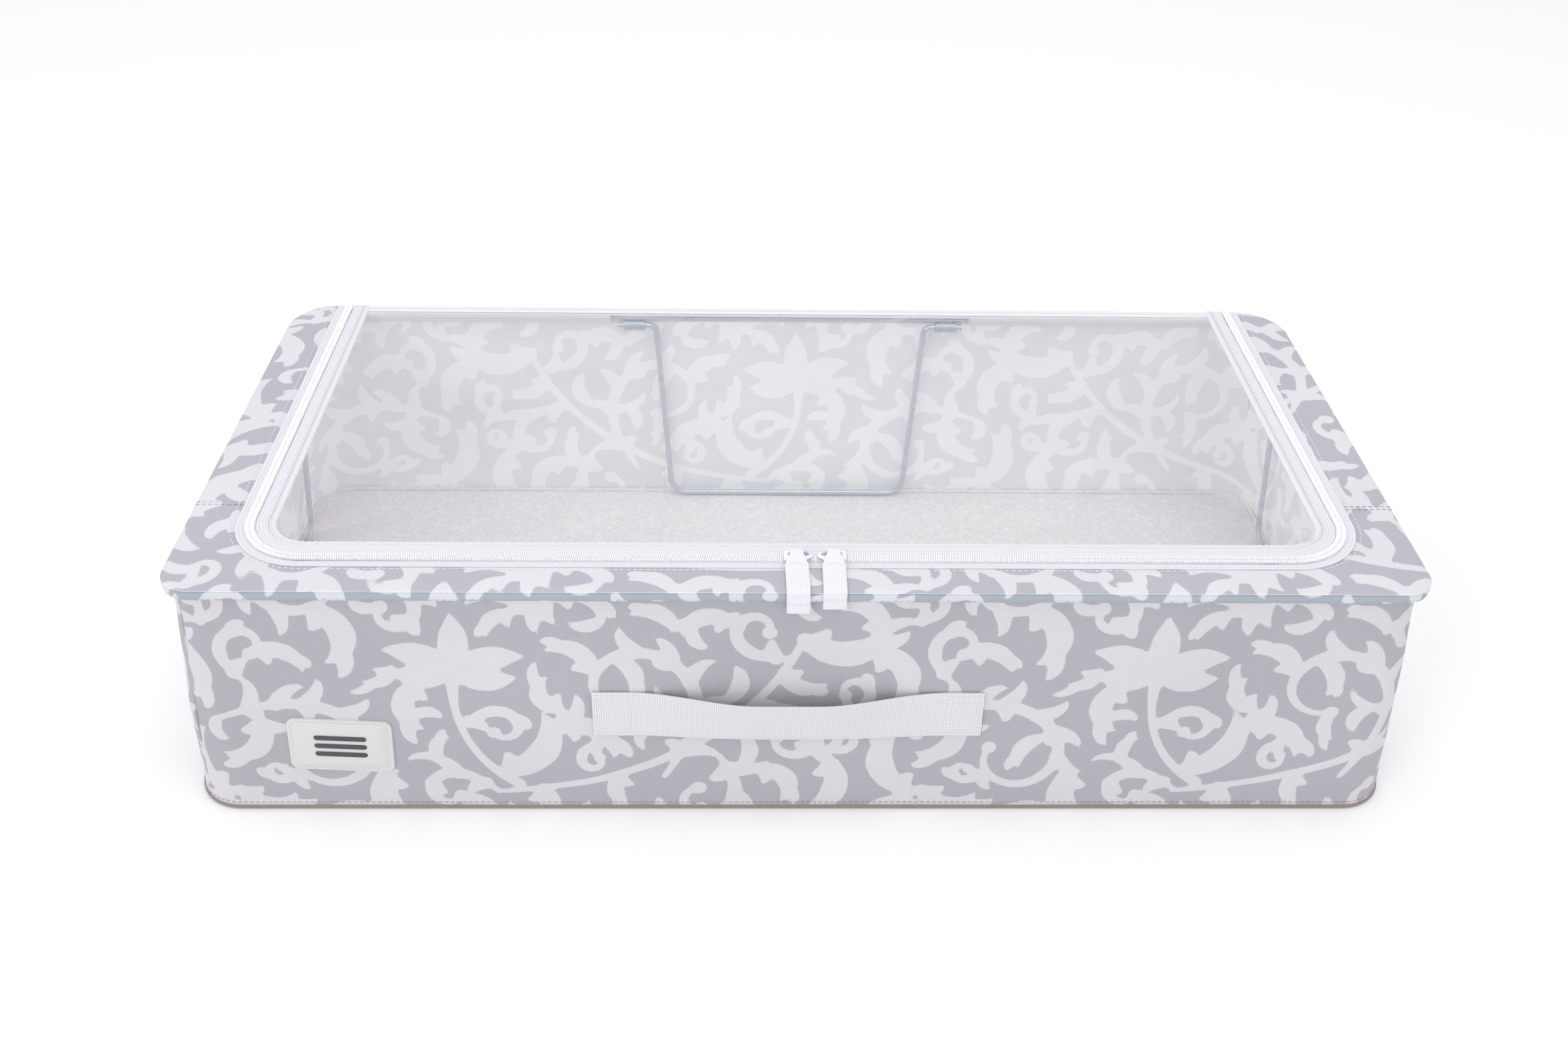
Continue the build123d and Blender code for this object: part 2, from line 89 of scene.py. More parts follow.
# Corner radii, front then back.
BASE_CORNERS, WALL_TOP_CORNERS, HEM_CORNERS = (28.0, 28.0), (22.0, 38.0), (18.0, 30.0)
OPENING_CORNER = 45.0
WALL_INSET = 3.0  # tops of the walls, inside the hem
CLOTH = 1.2
ZIP_CENTRE = (span("slider_bridge_left")[0][1] + span("slider_bridge_left")[1][1]) / 2

# Each side's direction along it, left to right from outside, and its direction out of the box.
SIDES = {
    "front": ((1, 0), (0, -1)),
    "right": ((0, 1), (1, 0)),
    "back": ((-1, 0), (0, 1)),
    "left": ((0, -1), (-1, 0)),
}
CORNERS_OF = {"front": (0, 0), "right": (0, 1), "back": (1, 1), "left": (1, 0)}
LEG_HALF = {"front": 96.0, "back": 96.0, "left": 110.0, "right": 110.0}
CASING_STUB = 31.0  # the casing stays open this far past the leg


def inset_of(node):
    """How far a band's outer edge lies inside the zipped opening."""
    return OPENING_X - span(node)[1][0]


# ---------------------------------------------------------------- plans and skins
def side_plan(side, half, corners, straight, arc=12):
    """One side of a rounded rectangle, from corner middle to corner middle: points and outward normals."""
    along, out = (np.array(d, float) for d in SIDES[side])
    reach, depth = half if side in ("front", "back") else half[::-1]
    first, last = (corners[k] for k in CORNERS_OF[side])

    def run(a, b):
        between = np.linspace(a, b, straight + 1)[1:-1]
        return np.concatenate([np.full(arc + 1, a), between, np.full(arc + 1, b)])

    enter, leave = np.linspace(135, 90, arc + 1), np.linspace(90, 45, arc + 1)
    angle = np.radians(np.concatenate([enter, np.full(straight - 1, 90.0), leave]))
    radius = run(first, last)
    a = run(first - reach, reach - last) + radius * np.cos(angle)
    o = depth - radius + radius * np.sin(angle)
    normals = np.cos(angle)[:, None] * along + np.sin(angle)[:, None] * out
    return a[:, None] * along + o[:, None] * out, normals


def u_plan(half_x, front_y, radius, back_y, side=100, arc=26, front=220):
    """Down the left side, along the front and up the right side: points and inward normals."""
    turn = np.radians(
        np.concatenate(
            [
                np.full(side, 180.0),
                np.linspace(180, 270, arc + 1),
                np.full(front - 1, 270.0),
                np.linspace(270, 360, arc + 1),
                np.full(side, 360.0),
            ]
        )
    )
    x, y = half_x - radius, front_y + radius
    run = np.linspace(back_y, y, side + 1)[:-1]
    between = np.linspace(-x, x, front + 1)[1:-1]
    cx = np.concatenate([np.full(side + arc + 1, -x), between, np.full(side + arc + 1, x)])
    cy = np.concatenate([run, np.full(2 * arc + front + 1, y), run[::-1]])
    out = np.stack([np.cos(turn), np.sin(turn)], axis=1)
    return np.stack([cx, cy], axis=1) + radius * out, -out


def loop_plan(half, corners):
    """A whole rounded rectangle, anticlockwise: points and outward normals."""
    parts = [side_plan(s, half, corners, 120 if s in ("front", "back") else 60) for s in SIDES]
    return np.concatenate([p[:-1] for p, _ in parts]), np.concatenate([n[:-1] for _, n in parts])


def carry(plan, profile):
    """Carries a profile of (distance along the normal, height) pairs along a plan."""
    points, normals = plan
    profile = np.asarray(profile, float)
    xy = points[:, None] + normals[:, None] * profile[None, :, :1]
    z = np.broadcast_to(profile[None, :, 1:], xy.shape[:2] + (1,))
    return np.concatenate([xy, z], axis=2)


def length_along(points):
    """Distance travelled to each point of a line."""
    return np.concatenate([[0.0], np.cumsum(np.linalg.norm(np.diff(points, axis=0), axis=1))])


def strip_uv(plan, profile):
    """Cloth coordinates of a carried profile: along the strip, then across it."""
    s = length_along(plan[0])
    across = np.asarray(profile, float)[:, 0]
    return np.stack(np.broadcast_arrays(s[:, None], across[None, :]), axis=2)


def ripple(u, v, seed, wave):
    """Smooth unevenness, about -1 to 1, from a few crossing waves."""
    rng = random.Random(seed)
    total = 0.0
    for _ in range(7):
        angle, phase, size = rng.uniform(0, math.tau), rng.uniform(0, math.tau), wave * rng.uniform(0.7, 1.7)
        total = total + np.sin((u * math.cos(angle) + v * math.sin(angle)) * math.tau / size + phase)
    return total / 3.2


def skin(name, points, uv=None, field=None, loop=False, finishes=(), back_from=None, sharp=50):
    """A closed skin over a grid of points. Each row is a ring, and the rows run along the piece.

    The two ends are closed like a ladder, unless loop joins them. Rings with columns from back_from
    on take the second finish.
    """
    rows, cols = points.shape[:2]
    index = np.arange(rows * cols).reshape(rows, cols)
    beside, ahead = np.roll(index, -1, axis=1), np.roll(index, -1, axis=0)
    quads = np.stack([index, beside, np.roll(beside, -1, axis=0), ahead], axis=-1)
    side = np.tile(np.arange(cols), (rows, 1)) >= (back_from if back_from is not None else cols)
    if not loop:
        quads, side = quads[:-1], side[:-1]
    quads, side = quads.reshape(-1, 4), side.reshape(-1)
    if not loop:
        j = np.arange(cols // 2 - 1)
        for row, turn in ((index[0], -1), (index[-1], 1)):
            rungs = np.stack([row[j], row[j + 1], row[cols - 2 - j], row[cols - 1 - j]], axis=-1)
            quads = np.concatenate([quads, rungs[:, ::turn]])
        side = np.concatenate([side, np.zeros(len(quads) - len(side), bool)])
    return mesh_object(name, points.reshape(-1, 3), quads.tolist(), uv, field, finishes, side, sharp)


def mesh_object(name, points, faces, uv=None, field=None, finishes=(), side=None, sharp=50):
    """A mesh from points in millimetres, with its cloth coordinates, print field and finishes."""
    mesh = bpy.data.meshes.new(name)
    mesh.from_pydata((np.asarray(points) * MM).tolist(), [], faces)
    for finish in finishes:
        mesh.materials.append(finish)
    if side is not None and side.any():
        mesh.polygons.foreach_set("material_index", side.astype(np.int32))
    if uv is not None:
        corner = np.empty(len(mesh.loops), np.int32)
        mesh.loops.foreach_get("vertex_index", corner)
        layer = mesh.uv_layers.new(name="cloth")
        layer.data.foreach_set("uv", (uv.reshape(-1, 2)[corner] * MM).astype(np.float32).ravel())
    if field is not None:
        ink = mesh.attributes.new("print", "FLOAT", "POINT")
        ink.data.foreach_set("value", field.reshape(-1).astype(np.float32))
    edit = bmesh.new()
    edit.from_mesh(mesh)
    bmesh.ops.recalc_face_normals(edit, faces=edit.faces)
    edit.to_mesh(mesh)
    edit.free()
    mesh.shade_smooth()
    mesh.set_sharp_from_angle(angle=math.radians(sharp))
    piece = bpy.data.objects.new(name, mesh)
    bpy.context.scene.collection.objects.link(piece)
    return piece


def settle(piece, body, slot, *nodes):
    """Puts a finished piece on its body and hides the CAD nodes that it stands for. Its slot is not used."""
    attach(piece, body)
    if nodes:
        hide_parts(*nodes)
    return piece


def rounded(width, height, radius, steps=8):
    """A rounded rectangle's outline about the origin, anticlockwise."""
    points = []
    for k, (sx, sy) in enumerate(((1, 1), (-1, 1), (-1, -1), (1, -1))):
        cx, cy = sx * (width / 2 - radius), sy * (height / 2 - radius)
        for a in np.radians(np.linspace(90 * k, 90 * k + 90, steps + 1)):
            points.append((cx + radius * math.cos(a), cy + radius * math.sin(a)))
    return np.array(points)


def stack(outline, levels):
    """Rings of one outline at several heights, from (inwards, height) pairs. The ends close to a point."""
    middle = outline.mean(axis=0)
    away = outline - middle
    reach = np.linalg.norm(away, axis=1, keepdims=True)
    n = len(outline)
    rings = [
        np.column_stack([middle + away * (1 - inward / reach), np.full(n, z)]) for inward, z in levels
    ]
    faces = []
    for k in range(len(rings) - 1):
        for i in range(n):
            j = (i + 1) % n
            faces.append((k * n + i, k * n + j, (k + 1) * n + j, (k + 1) * n + i))
    points = np.concatenate(rings + [[[*middle, levels[0][1]], [*middle, levels[-1][1]]]])
    low, high = len(points) - 2, len(points) - 1
    for i in range(n):
        j = (i + 1) % n
        faces.append((low, j, i))
        faces.append((high, (len(rings) - 1) * n + i, (len(rings) - 1) * n + j))
    return points, faces


def tube(line, across, up, sides=10):
    """An oval tube along a line: rings of points. across and up are its half sizes at each point."""
    line = np.asarray(line, float)
    ahead = np.gradient(line, axis=0)
    ahead /= np.linalg.norm(ahead, axis=1, keepdims=True)
    lateral = np.cross(ahead, (0, 0, 1.0))
    lateral[np.linalg.norm(lateral, axis=1) < 1e-6] = (0, 1.0, 0)
    lateral /= np.linalg.norm(lateral, axis=1, keepdims=True)
    high = np.cross(lateral, ahead)
    turn = np.linspace(0, math.tau, sides, endpoint=False)
    across, up = (np.broadcast_to(np.asarray(v, float), len(line)) for v in (across, up))
    return (
        line[:, None]
        + lateral[:, None] * (across[:, None] * np.cos(turn))[:, :, None]
        + high[:, None] * (up[:, None] * np.sin(turn))[:, :, None]
    )


def smooth_line(corners, spacing=1.5, rounding=3):
    """A finely spaced line through corners, with the corners softened."""
    corners = np.asarray(corners, float)
    s = length_along(corners)
    at = np.linspace(0, s[-1], max(4, int(s[-1] / spacing) + 1))
    line = np.stack([np.interp(at, s, corners[:, k]) for k in range(corners.shape[1])], axis=1)
    for _ in range(rounding):
        line[1:-1] = (line[:-2] + 2 * line[1:-1] + line[2:]) / 4
    return line


def flat_line(corners, spacing=2.0):
    """The same without softening, for a row of stitches."""
    return smooth_line(corners, spacing, 0)


# ---------------------------------------------------------------- the print
REPEAT = (400.0, 300.0)
PRINT_SHIFT = (196.0, 0.0)


class Field:
    """Distance to the printed shapes over one repeat, negative inside them, on a square grid."""

    def __init__(self, cell, reach):
        self.cell, self.reach = cell, reach
        self.nu, self.nv = round(REPEAT[0] / cell), round(REPEAT[1] / cell)
        self.grid = np.full((self.nv, self.nu), reach)

    def draw(self, px, py, width):
        pad = width.max() + self.reach
        iu = np.arange(int((px.min() - pad) // self.cell), int((px.max() + pad) // self.cell) + 2)
        iv = np.arange(int((py.min() - pad) // self.cell), int((py.max() + pad) // self.cell) + 2)
        gu, gv = np.meshgrid(iu * self.cell, iv * self.cell)
        best = np.full(gu.shape, self.reach)
        for k in range(len(px) - 1):
            dx, dy = px[k + 1] - px[k], py[k + 1] - py[k]
            t = np.clip(((gu - px[k]) * dx + (gv - py[k]) * dy) / (dx * dx + dy * dy + 1e-9), 0, 1)
            half = width[k] + t * (width[k + 1] - width[k])
            best = np.minimum(best, np.hypot(gu - px[k] - t * dx, gv - py[k] - t * dy) - half)
        rows, cols = np.meshgrid(iv % self.nv, iu % self.nu, indexing="ij")
        np.minimum.at(self.grid, (rows, cols), best)

    def at(self, u, v):
        x, y = np.asarray(u) / self.cell, np.asarray(v) / self.cell
        i, j = np.floor(x).astype(int), np.floor(y).astype(int)
        fx, fy = x - i, y - j
        i0, i1, j0, j1 = i % self.nu, (i + 1) % self.nu, j % self.nv, (j + 1) % self.nv
        g = self.grid
        low = g[j0, i0] * (1 - fx) + g[j0, i1] * fx
        high = g[j1, i0] * (1 - fx) + g[j1, i1] * fx
        return low * (1 - fy) + high * fy


def stroke(x, y, heading, length, turn, widths, ease=1.2, steps=16):
    """Centre line and half widths of a tapered brush stroke that turns as it goes."""
    t = np.linspace(0, 1, steps)
    angle = np.radians(heading + turn * t**ease)
    step = length / (steps - 1)
    px = x + np.concatenate([[0], np.cumsum(np.cos(angle[:-1]) * step)])
    py = y + np.concatenate([[0], np.cumsum(np.sin(angle[:-1]) * step)])
    return px, py, np.interp(t, np.linspace(0, 1, len(widths)), widths), angle


class Print:
    """A scroll and leaf design that fills the repeat: flowers, volutes, then leaves in every gap."""

    def __init__(self, seed):
        self.rng = random.Random(seed)
        self.fine, self.coarse = Field(1.25, 6.0), Field(2.5, 90.0)
        for x, y, up, size in ((0, 104, 84, 44), (204, 250, 98, 42)):
            self.flower(x, y, up, size)
            self.draw(stroke(x, y, up + 180, 96, 66 if x == 0 else -66, (4.5, 2.4, 2.2, 2.6, 3.4)))
        for x, y, heading, length, turn, width in (
            (20, 14, 4, 225, 66, 3.0),
            (210, 160, 190, 190, -70, 3.0),
            (118, 26, 60, 190, 330, 3.5),
            (262, 70, 20, 185, -330, 3.5),
            (150, 192, 120, 170, 330, 3.3),
            (330, 232, 215, 175, 330, 3.3),
            (300, 150, 80, 150, -320, 3.0),
        ):
            if abs(turn) > 180:
                self.volute(x, y, heading, length, turn, width)
            else:
                self.draw(stroke(x, y, heading, length, turn, (width * 0.6, width, width * 0.8), 1.2, 30))
        self.fill(9.5)

    def draw(self, shape):
        px, py, width, _ = shape
        self.fine.draw(px, py, width)
        self.coarse.draw(px, py, width)

    def dot(self, x, y, r):
        self.draw((np.array([x, x + 0.2]), np.array([y, y]), np.array([r, r]), None))

    def volute(self, x, y, heading, length, turn, width):
        """A curl that thickens, tightens and ends in a drop, with fingers on its outer side."""
        shape = stroke(x, y, heading, length, turn, (width * 0.5, width * 1.2, width, width * 0.5), 1.9, 36)
        self.leaf(shape, -math.copysign(1, turn), width * 2.0, 5.0, 0.12, 0.6)
        self.dot(shape[0][-1], shape[1][-1], width * 1.25)

    def flower(self, x, y, up, size):
        """Five pointed petals on a round heart."""
        w = size * 0.2
        self.dot(x, y, w)
        widths = (w * 0.4, w * 0.75, w, w * 0.9, w * 0.45, 0.1)
        petals = ((0, 0.95, 12), (58, 1.0, 40), (-55, 1.0, -40), (112, 0.85, -46), (-108, 0.85, 46))
        for heading, reach, bend in petals:
            self.draw(stroke(x, y, up + heading, size * reach, bend, widths, 1.3, 15))

    def leaf(self, shape, side, fat, gap, first=0.1, last=0.74):
        """A curved rib with hooked fingers that merge at their roots, longer on its outer side."""
        px, py, _, angle = shape
        before = self.coarse.grid.copy()
        self.draw(shape)
        after, n = self.coarse.grid, len(px)
        length = math.hypot(px[1] - px[0], py[1] - py[0]) * (n - 1)
        w = min(0.66 * fat, 5.2)
        widths = (w, w * 1.05, w * 0.9, w * 0.6, 0.15)
        count = max(2, round((last - first) * length / (3.1 * w)))
        for k in range(count):
            t = first + (last - first) * k / (count - 1)
            i = int(t * (n - 1))
            for s, share in ((side, 1.0), (-side, 0.55)):
                if share < 1 and k % 2:
                    continue
                heading = math.degrees(angle[i]) + s * (58 - 22 * t)
                hook = s * (78 - 150 * (k % 3 == 1))
                for shrink in (1.0, 0.82, 0.66, 0.5):
                    reach = (12.5 + fat * (1.9 - 0.9 * t)) * share * shrink
                    lobe = stroke(px[i], py[i], heading, reach, hook, widths, 1.7, 10)
                    self.coarse.grid = before
                    room = self.coarse.at(lobe[0][-4:], lobe[1][-4:]).min()
                    self.coarse.grid = after
                    if room > gap:
                        self.draw(lobe)
                        break

    def fill(self, least, gap=5.2):
        """Puts a leaf or a volute in the emptiest spot until no spot is wider than asked."""
        g = self.coarse
        for _ in range(400):
            j, i = np.unravel_index(np.argmax(g.grid), g.grid.shape)
            room, x, y = float(g.grid[j, i]), i * g.cell, j * g.cell
            if room < least:
                return
            ring = np.radians(np.arange(0, 360, 10))
            near = g.at(x + (room + 1) * np.cos(ring), y + (room + 1) * np.sin(ring))
            chance = np.array([self.rng.random() for _ in ring])
            a = float(ring[int(np.argmin(near + 2.0 * chance))])
            side, bend, reach = self.rng.choice((1, -1)), self.rng.uniform(50, 80), min(room, 30.0)
            root = (x + (room + 3) * math.cos(a), y + (room + 3) * math.sin(a))
            heading = math.degrees(a) + 180 - side * bend * 0.55
            if self.rng.random() < 0.3 and room > 12:
                self.volute(*root, heading, reach * 3.1, side * 300, 1.8 + reach * 0.07)
            else:
                fat = 1.8 + reach * 0.24
                widths = (fat * 0.5, fat * 0.9, fat, fat * 0.7, 0.2)
                rib = stroke(*root, heading, reach * 2.05, side * bend * 1.9, widths, 1.3, 18)
                self.leaf(rib, -side, fat, gap)


cloth_print = Print(19).fine


def printed(uv):
    """The print's distance at cloth coordinates."""
    return cloth_print.at(uv[..., 0] + PRINT_SHIFT[0], uv[..., 1] + PRINT_SHIFT[1])


# ---------------------------------------------------------------- materials
THREAD_PITCH = 0.95  # of the printed cloth
INK_EDGE = 0.35  # half the width over which one ink runs into the other


def rgb(code):
    """An sRGB hex colour in linear light, with alpha."""
    parts = [int(code[i : i + 2], 16) / 255 for i in (1, 3, 5)]
    return tuple(c / 12.92 if c <= 0.04045 else ((c + 0.055) / 1.055) ** 2.4 for c in parts) + (1.0,)


def add(tree, kind, inputs=None, **settings):
    """Adds a node, sets it, and fills or links its inputs."""
    node = tree.nodes.new(kind)
    for key, value in settings.items():
        setattr(node, key, value)
    for key, value in (inputs or {}).items():
        if isinstance(value, bpy.types.NodeSocket):
            tree.links.new(value, node.inputs[key])
        else:
            node.inputs[key].default_value = value
    return node


def material(name, shader, build=None):
    """A material by name, made once: shader holds the values that are the same all over."""
    made = bpy.data.materials.get(name)
    if made:
        return made
    made = bpy.data.materials.new(name)
    made.use_nodes = True
    tree = made.node_tree
    tree.nodes.clear()
    surface = add(tree, "ShaderNodeBsdfPrincipled", shader)
    add(tree, "ShaderNodeOutputMaterial", {"Surface": surface.outputs[0]})
    if build:
        build(tree, surface)
    return made


def work(tree, operation, *values, **settings):
    """One step of arithmetic on values or sockets."""
    step = add(tree, "ShaderNodeMath", dict(enumerate(values)), operation=operation, **settings)
    return step.outputs[0]


def remap(tree, value, *limits):
    """Maps a value to another range: limits are from low, from high, to low, to high."""
    return add(tree, "ShaderNodeMapRange", dict(enumerate((value, *limits)))).outputs[0]


def place_on(tree):
    """The piece's own coordinates, in metres."""
    return add(tree, "ShaderNodeTexCoord").outputs["Object"]


def cloud(tree, scale, detail):
    """Soft noise through the piece, with so many cells to a metre."""
    inputs = {"Vector": place_on(tree), "Scale": scale, "Detail": detail}
    return add(tree, "ShaderNodeTexNoise", inputs).outputs[0]


def weave(tree, pitch_u, pitch_v, across=0.0):
    """Thread tops of a plain weave, 0 in the gaps to 1 on the threads; across slants it into a twill."""
    uv = add(tree, "ShaderNodeUVMap", uv_map="cloth")
    split = add(tree, "ShaderNodeSeparateXYZ", {0: uv.outputs[0]})
    u, v = split.outputs[0], split.outputs[1]
    tops = []
    for source, pitch in ((work(tree, "MULTIPLY_ADD", v, across, u), pitch_u), (v, pitch_v)):
        turn = work(tree, "MULTIPLY", source, math.pi / (pitch * MM))
        tops.append(work(tree, "ABSOLUTE", work(tree, "SINE", turn)))
    return work(tree, "MULTIPLY", *tops)


def shade(tree, factor, dark, light):
    """Mixes two colours or colour sockets by a factor."""
    return add(tree, "ShaderNodeMix", {0: factor, 6: dark, 7: light}, data_type="RGBA").outputs[2]


def bump(tree, surface, height, depth, strength):
    """Raises the surface by a height, up to a depth in millimetres."""
    raised = add(tree, "ShaderNodeBump", {"Height": height, "Distance": depth * MM, "Strength": strength})
    tree.links.new(raised.outputs[0], surface.inputs["Normal"])


def printed_cloth(name, ground, figure, gap, glow=0.0):
    """Laminated polyester Oxford cloth, screen printed. Thread tops are lighter, with painted shade in the
    gaps between them; glow is a painted glow.
    """
    shader = {"Roughness": 0.72, "Sheen Weight": 0.08, "Sheen Roughness": 0.5, "Emission Strength": glow}
    shader["Emission Color"] = (1.0, 1.0, 1.0, 1.0)

    def build(tree, surface):
        threads = weave(tree, THREAD_PITCH, THREAD_PITCH)
        distance = add(tree, "ShaderNodeAttribute", attribute_name="print").outputs["Fac"]
        edge = remap(tree, distance, -INK_EDGE, INK_EDGE, 1.0, 0.0)
        inks = shade(tree, edge, rgb(ground), rgb(figure))
        # Painted shade: the inks darkened for the gaps between the threads.
        dull = add(tree, "ShaderNodeHueSaturation", {"Color": inks, "Value": gap}).outputs[0]
        woven = shade(tree, threads, dull, inks)
        soft = remap(tree, cloud(tree, 9.0, 2.0), 0.3, 0.7, 0.97, 1.03)
        toned = add(tree, "ShaderNodeHueSaturation", {"Color": woven, "Value": soft}).outputs[0]
        tree.links.new(toned, surface.inputs["Base Color"])
        bump(tree, surface, threads, 0.12, 0.45)

    return material(name, shader, build)


def woven_tape(name, light, dark, pitch_u, pitch_v, slant=0.0, roughness=0.65, depth=0.15):
    """Polyester tape off a narrow loom. Its rows of thread make fine ribs, with painted shade in the gaps
    between them.
    """

    def build(tree, surface):
        threads = weave(tree, pitch_u, pitch_v, slant)
        # The dark colour is painted shade, in the gaps between the threads.
        tree.links.new(shade(tree, threads, rgb(dark), rgb(light)), surface.inputs["Base Color"])
        bump(tree, surface, threads, depth, 0.6)

    return material(name, {"Roughness": roughness, "Sheen Weight": 0.1, "Sheen Roughness": 0.4}, build)


def mottled(name, light, dark, grain, shader, depth=0.0):
    """A surface whose tone and height vary with a grain of a given size in millimetres."""

    def build(tree, surface):
        noise = cloud(tree, 1 / (grain * MM), 4.0)
        factor = remap(tree, noise, 0.3, 0.7, 0.0, 1.0)
        tree.links.new(shade(tree, factor, rgb(dark), rgb(light)), surface.inputs["Base Color"])
        if depth:
            bump(tree, surface, noise, depth, 0.4)

    return material(name, shader, build)


def outer_cloth():
    return printed_cloth("Printed polyester Oxford", "#B6B5BD", "#E0DDE2", 0.8)


def rim_cloth():
    # The rim's copy of the print is painted a little lighter than the walls': painted light, where the top
    # faces the lamps.
    return printed_cloth("Printed Oxford over the rim", "#BCBCC6", "#E5E4EA", 0.8)


def inner_cloth():
    # The ink only stains the back of the cloth, so the print shows faded and mirrored. Its inks are also set
    # lighter and it glows faintly: painted light, for light that comes through the thin cloth.
    return printed_cloth("Reverse of printed Oxford", "#E4E4EA", "#FAF9FB", 0.98, glow=0.09)


def casing_cloth():
    # The casing's copy of the print is cooler and a little darker than the walls'.
    return printed_cloth("Printed Oxford over the wire", "#ADB5C1", "#DFE1E8", 0.84)


def base_cloth():
    # Woven polypropylene base cloth: flat tapes of plastic with a dull shine.
    return woven_tape("Woven polypropylene base cloth", "#B9B6B4", "#8F8A87", 2.2, 2.2, roughness=0.55)


def welt_cloth():
    # Bias cut cotton welt, dyed warm grey.
    return woven_tape("Cotton bias welt", "#A69892", "#877A74", 1.0, 1.0, roughness=0.85)


def pale_tape():
    # Polyester grosgrain binding: ribs 0.9 mm apart across the tape.
    return woven_tape("Grosgrain binding tape", "#F4F3F8", "#D6D5DC", 0.9, 5.0)


def zip_tape():
    # Zip tape in herringbone twill, drawn 1.1 mm wide so that the twill shows.
    return woven_tape("Herringbone zip tape", "#F0EFF5", "#D3D2DA", 1.1, 1.9, 0.6)


def pull_tape():
    # Cotton herringbone tape: soft, matt, and slightly warm.
    return woven_tape("Herringbone pull tape", "#F8F7FB", "#DDDCE4", 1.2, 1.2, 0.8, 0.75, 0.2)


def strap_webbing():
    # Polypropylene webbing in a square weave of 1.3 mm, with the dull gloss of drawn yarn.
    return woven_tape("Polypropylene webbing", "#F6F6F8", "#C9CAD0", 1.3, 1.3, roughness=0.5, depth=0.35)


def thread():
    # Spun polyester sewing thread, pale and slightly shiny.
    return mottled("Polyester sewing thread", "#F6F5F9", "#DEDDE4", 0.4, {"Roughness": 0.5})


def grey_thread():
    # The same thread in grey, for the seams that cross the print.
    return mottled("Grey sewing thread", "#A9ABB8", "#8D8F9D", 0.4, {"Roughness": 0.5})


def coil_nylon():
    # Extruded nylon monofilament, wound hot: translucent white with a waxy shine.
    shader = {"Roughness": 0.3, "Subsurface Weight": 0.1, "Subsurface Scale": 0.001}
    return mottled("Nylon zip coil", "#FBFAFF", "#ECEBF3", 2.0, shader)


def lacquer():
    # Die cast zinc sliders, dipped in white lacquer: thick, glossy and rounded off.
    return mottled("White lacquered zinc", "#F7F7FA", "#ECECF0", 3.0, {"Roughness": 0.2, "Coat Weight": 0.5})


def nickel():
    # Nickel plated bridge: bright, with soft tumbling marks.
    shader = {"Metallic": 1.0, "Roughness": 0.25}
    return mottled("Tumbled nickel plate", "#CDD6E2", "#AEBBCB", 0.6, shader, 0.02)


def wire_steel():
    # Drawn spring steel wire, zinc plated: bluish white with faint lines along the draw.
    shader = {"Metallic": 0.75, "Roughness": 0.34}
    return mottled("Zinc plated spring wire", "#D2DAE4", "#AAB6C4", 1.2, shader, 0.03)


def sleeve_steel():
    # Pressed mild steel sleeve, zinc plated and duller than the wire.
    shader = {"Metallic": 0.75, "Roughness": 0.45}
    return mottled("Zinc plated crimp", "#C5CDD8", "#9BA7B5", 0.9, shader, 0.04)


def soft_vinyl():
    # Injected soft PVC patch: milky, with a fine moulded grain.
    shader = {"Roughness": 0.42, "Subsurface Weight": 0.15, "Subsurface Scale": 0.002}
    return mottled("Moulded soft vinyl", "#DADBD9", "#CECFCE", 0.5, shader, 0.02)


def dark_vinyl():
    # The raised mark is the same vinyl, tinted charcoal.
    return mottled("Charcoal soft vinyl", "#4A4A51", "#3E3E45", 0.5, {"Roughness": 0.4}, 0.02)


def grey_board():
    # Rolled recycled board: short fibres in grey and brown.
    return mottled("Recycled grey board", "#B0A89C", "#8D857A", 0.8, {"Roughness": 0.9}, 0.05)


def crepe():
    """Thermally bonded non-woven lining: crinkled by the bonding rollers into a pale crepe."""

    def build(tree, surface):
        # Crinkles about 2.5 mm apart.
        cell = {"Vector": place_on(tree), "Scale": 400.0}
        cells = add(tree, "ShaderNodeTexVoronoi", cell, feature="SMOOTH_F1").outputs["Distance"]
        height = work(tree, "MULTIPLY", cells, cloud(tree, 260.0, 3.0))
        # The crinkles' hollows take the darker colour: painted shade.
        factor = remap(tree, height, 0.05, 0.4, 0.0, 1.0)
        tree.links.new(shade(tree, factor, rgb("#E1DEE0"), rgb("#F3F0F1")), surface.inputs["Base Color"])
        bump(tree, surface, height, 0.5, 0.5)

    return material("Crepe non-woven lining", {"Roughness": 0.8, "Sheen Weight": 0.1}, build)


def clear_film():
    """Calendered clear PVC film: it mirrors most where it leans away, and has a faint haze."""

    def build(tree, surface):
        # The mirror shows only as far as alpha lets it, so alpha is the film's own reflectance.
        facing = add(tree, "ShaderNodeLayerWeight", {"Blend": 0.5}).outputs["Facing"]
        glance = work(tree, "POWER", facing, 3.0)
        haze = remap(tree, cloud(tree, 12.0, 2.0), 0.3, 0.7, 0.05, 0.1)
        both = work(tree, "MULTIPLY_ADD", glance, 0.8, haze, use_clamp=True)
        tree.links.new(both, surface.inputs["Alpha"])

    shader = {"Base Color": rgb("#FAFAFC"), "Metallic": 1.0, "Roughness": 0.07}
    return material("Clear PVC film", shader, build)


